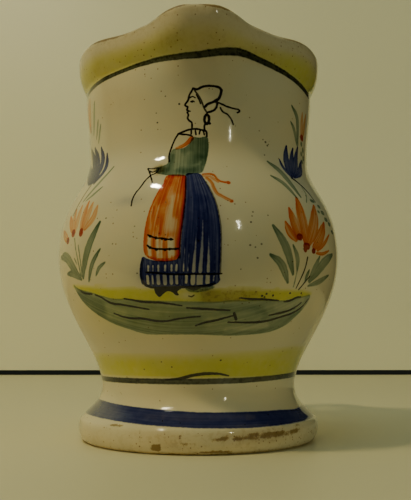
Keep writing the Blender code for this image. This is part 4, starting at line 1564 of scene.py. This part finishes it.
class JUG_OT_set_stage(bpy.types.Operator):
    """Lay a plain floor with a plain wall behind it, and set the lamps and the camera"""

    bl_idname = "jug.set_stage"
    bl_label = "Set the stage"

    def execute(self, context):
        stage = context.scene.jug_stage
        self.lay_floor(stage)
        for card in CARDS:
            self.hang_card(*card)
        for lamps, shine in ((LIGHTING_LAMPS, False), (SHINING_LAMPS, True)):
            for lamp in lamps:
                add_lamp(*lamp, shine)
        world = bpy.data.worlds.new("room")
        world.use_nodes = True
        ground = world.node_tree.nodes["Background"]
        ground.inputs["Color"].default_value = ROOM_COLOUR
        ground.inputs["Strength"].default_value = ROOM_STRENGTH
        context.scene.world = world
        camera = bpy.data.cameras.new("camera")
        camera.sensor_width = SENSOR_WIDTH
        camera.lens = SENSOR_WIDTH * stage.focal_pixels / IMAGE_HEIGHT
        camera.clip_start = 10 * MM
        holder = bpy.data.objects.new("camera", camera)
        holder.location = (0.0, AXIS_Y - stage.camera_distance, stage.camera_height)
        holder.rotation_euler = (math.pi / 2 + stage.tilt, 0.0, -stage.turn)
        context.scene.collection.objects.link(holder)
        context.scene.camera = holder
        return {"FINISHED"}

    def lay_floor(self, stage):
        """A floor, and a wall well behind the jug that stops just short of it."""
        start_piece()
        bpy.ops.mesh.primitive_plane_add(size=STAGE_WIDTH)
        floor = bpy.context.object
        places = vertex_places(floor)
        back = places[:, 1] > 0
        places[back, 1] = FLOOR_BACK / MM
        set_places(floor, places)
        start_piece()
        bpy.ops.mesh.primitive_plane_add(size=STAGE_WIDTH)
        wall = bpy.context.object
        places = vertex_places(wall)
        upper = places[:, 1] > 0
        places[:, 1] = WALL_BACK / MM
        places[:, 2] = np.where(upper, WALL_TOP, WALL_LOW) / MM
        set_places(wall, places)
        for piece, name, colour in ((floor, "floor", stage.floor), (wall, "wall", stage.wall)):
            piece.name = piece.data.name = name
            piece.data.materials.append(plain_surface(name, colour))

    def hang_card(self, name, corners):
        """A dark card that the camera doesn't see. It darkens what the glaze mirrors."""
        start_piece()
        bpy.ops.mesh.primitive_plane_add(size=1.0)
        card = bpy.context.object
        set_places(card, np.array(corners)[[0, 1, 3, 2]] / MM)
        card.name = card.data.name = name
        card.visible_camera = card.visible_shadow = False
        r = Recipe(name)
        r.shader.inputs["Base Color"].default_value = (0.02, 0.02, 0.02, 1.0)
        r.shader.inputs["Roughness"].default_value = 1.0
        r.shader.inputs["Specular IOR Level"].default_value = 0.0
        card.data.materials.append(r.material)


class JUG_PT_panel(bpy.types.Panel):
    """Buttons and values of the jug"""

    bl_idname = "JUG_PT_panel"
    bl_label = "Jug"
    bl_space_type = "VIEW_3D"
    bl_region_type = "UI"
    bl_category = "Jug"

    def draw(self, context):
        for operator in OPERATORS:
            self.layout.operator(operator.bl_idname)
        for group in (context.scene.jug_shape, context.scene.jug_paint, context.scene.jug_stage):
            box = self.layout.box()
            for name in group.__annotations__:
                box.prop(group, name)


OPERATORS = (JUG_OT_throw_pot, JUG_OT_press_handle, JUG_OT_glaze_jug, JUG_OT_set_stage)
CLASSES = (JugShape, JugPaint, JugStage, *OPERATORS, JUG_PT_panel)


def register():
    for made in CLASSES:
        bpy.utils.register_class(made)
    bpy.types.Scene.jug_shape = PointerProperty(type=JugShape)
    bpy.types.Scene.jug_paint = PointerProperty(type=JugPaint)
    bpy.types.Scene.jug_stage = PointerProperty(type=JugStage)


def unregister():
    del bpy.types.Scene.jug_shape
    del bpy.types.Scene.jug_paint
    del bpy.types.Scene.jug_stage
    for made in reversed(CLASSES):
        bpy.utils.unregister_class(made)


def main():
    register()
    bpy.ops.jug.set_stage()
    bpy.ops.jug.throw_pot()
    bpy.ops.jug.press_handle()
    bpy.ops.jug.glaze_jug()


if __name__ == "__main__":
    main()
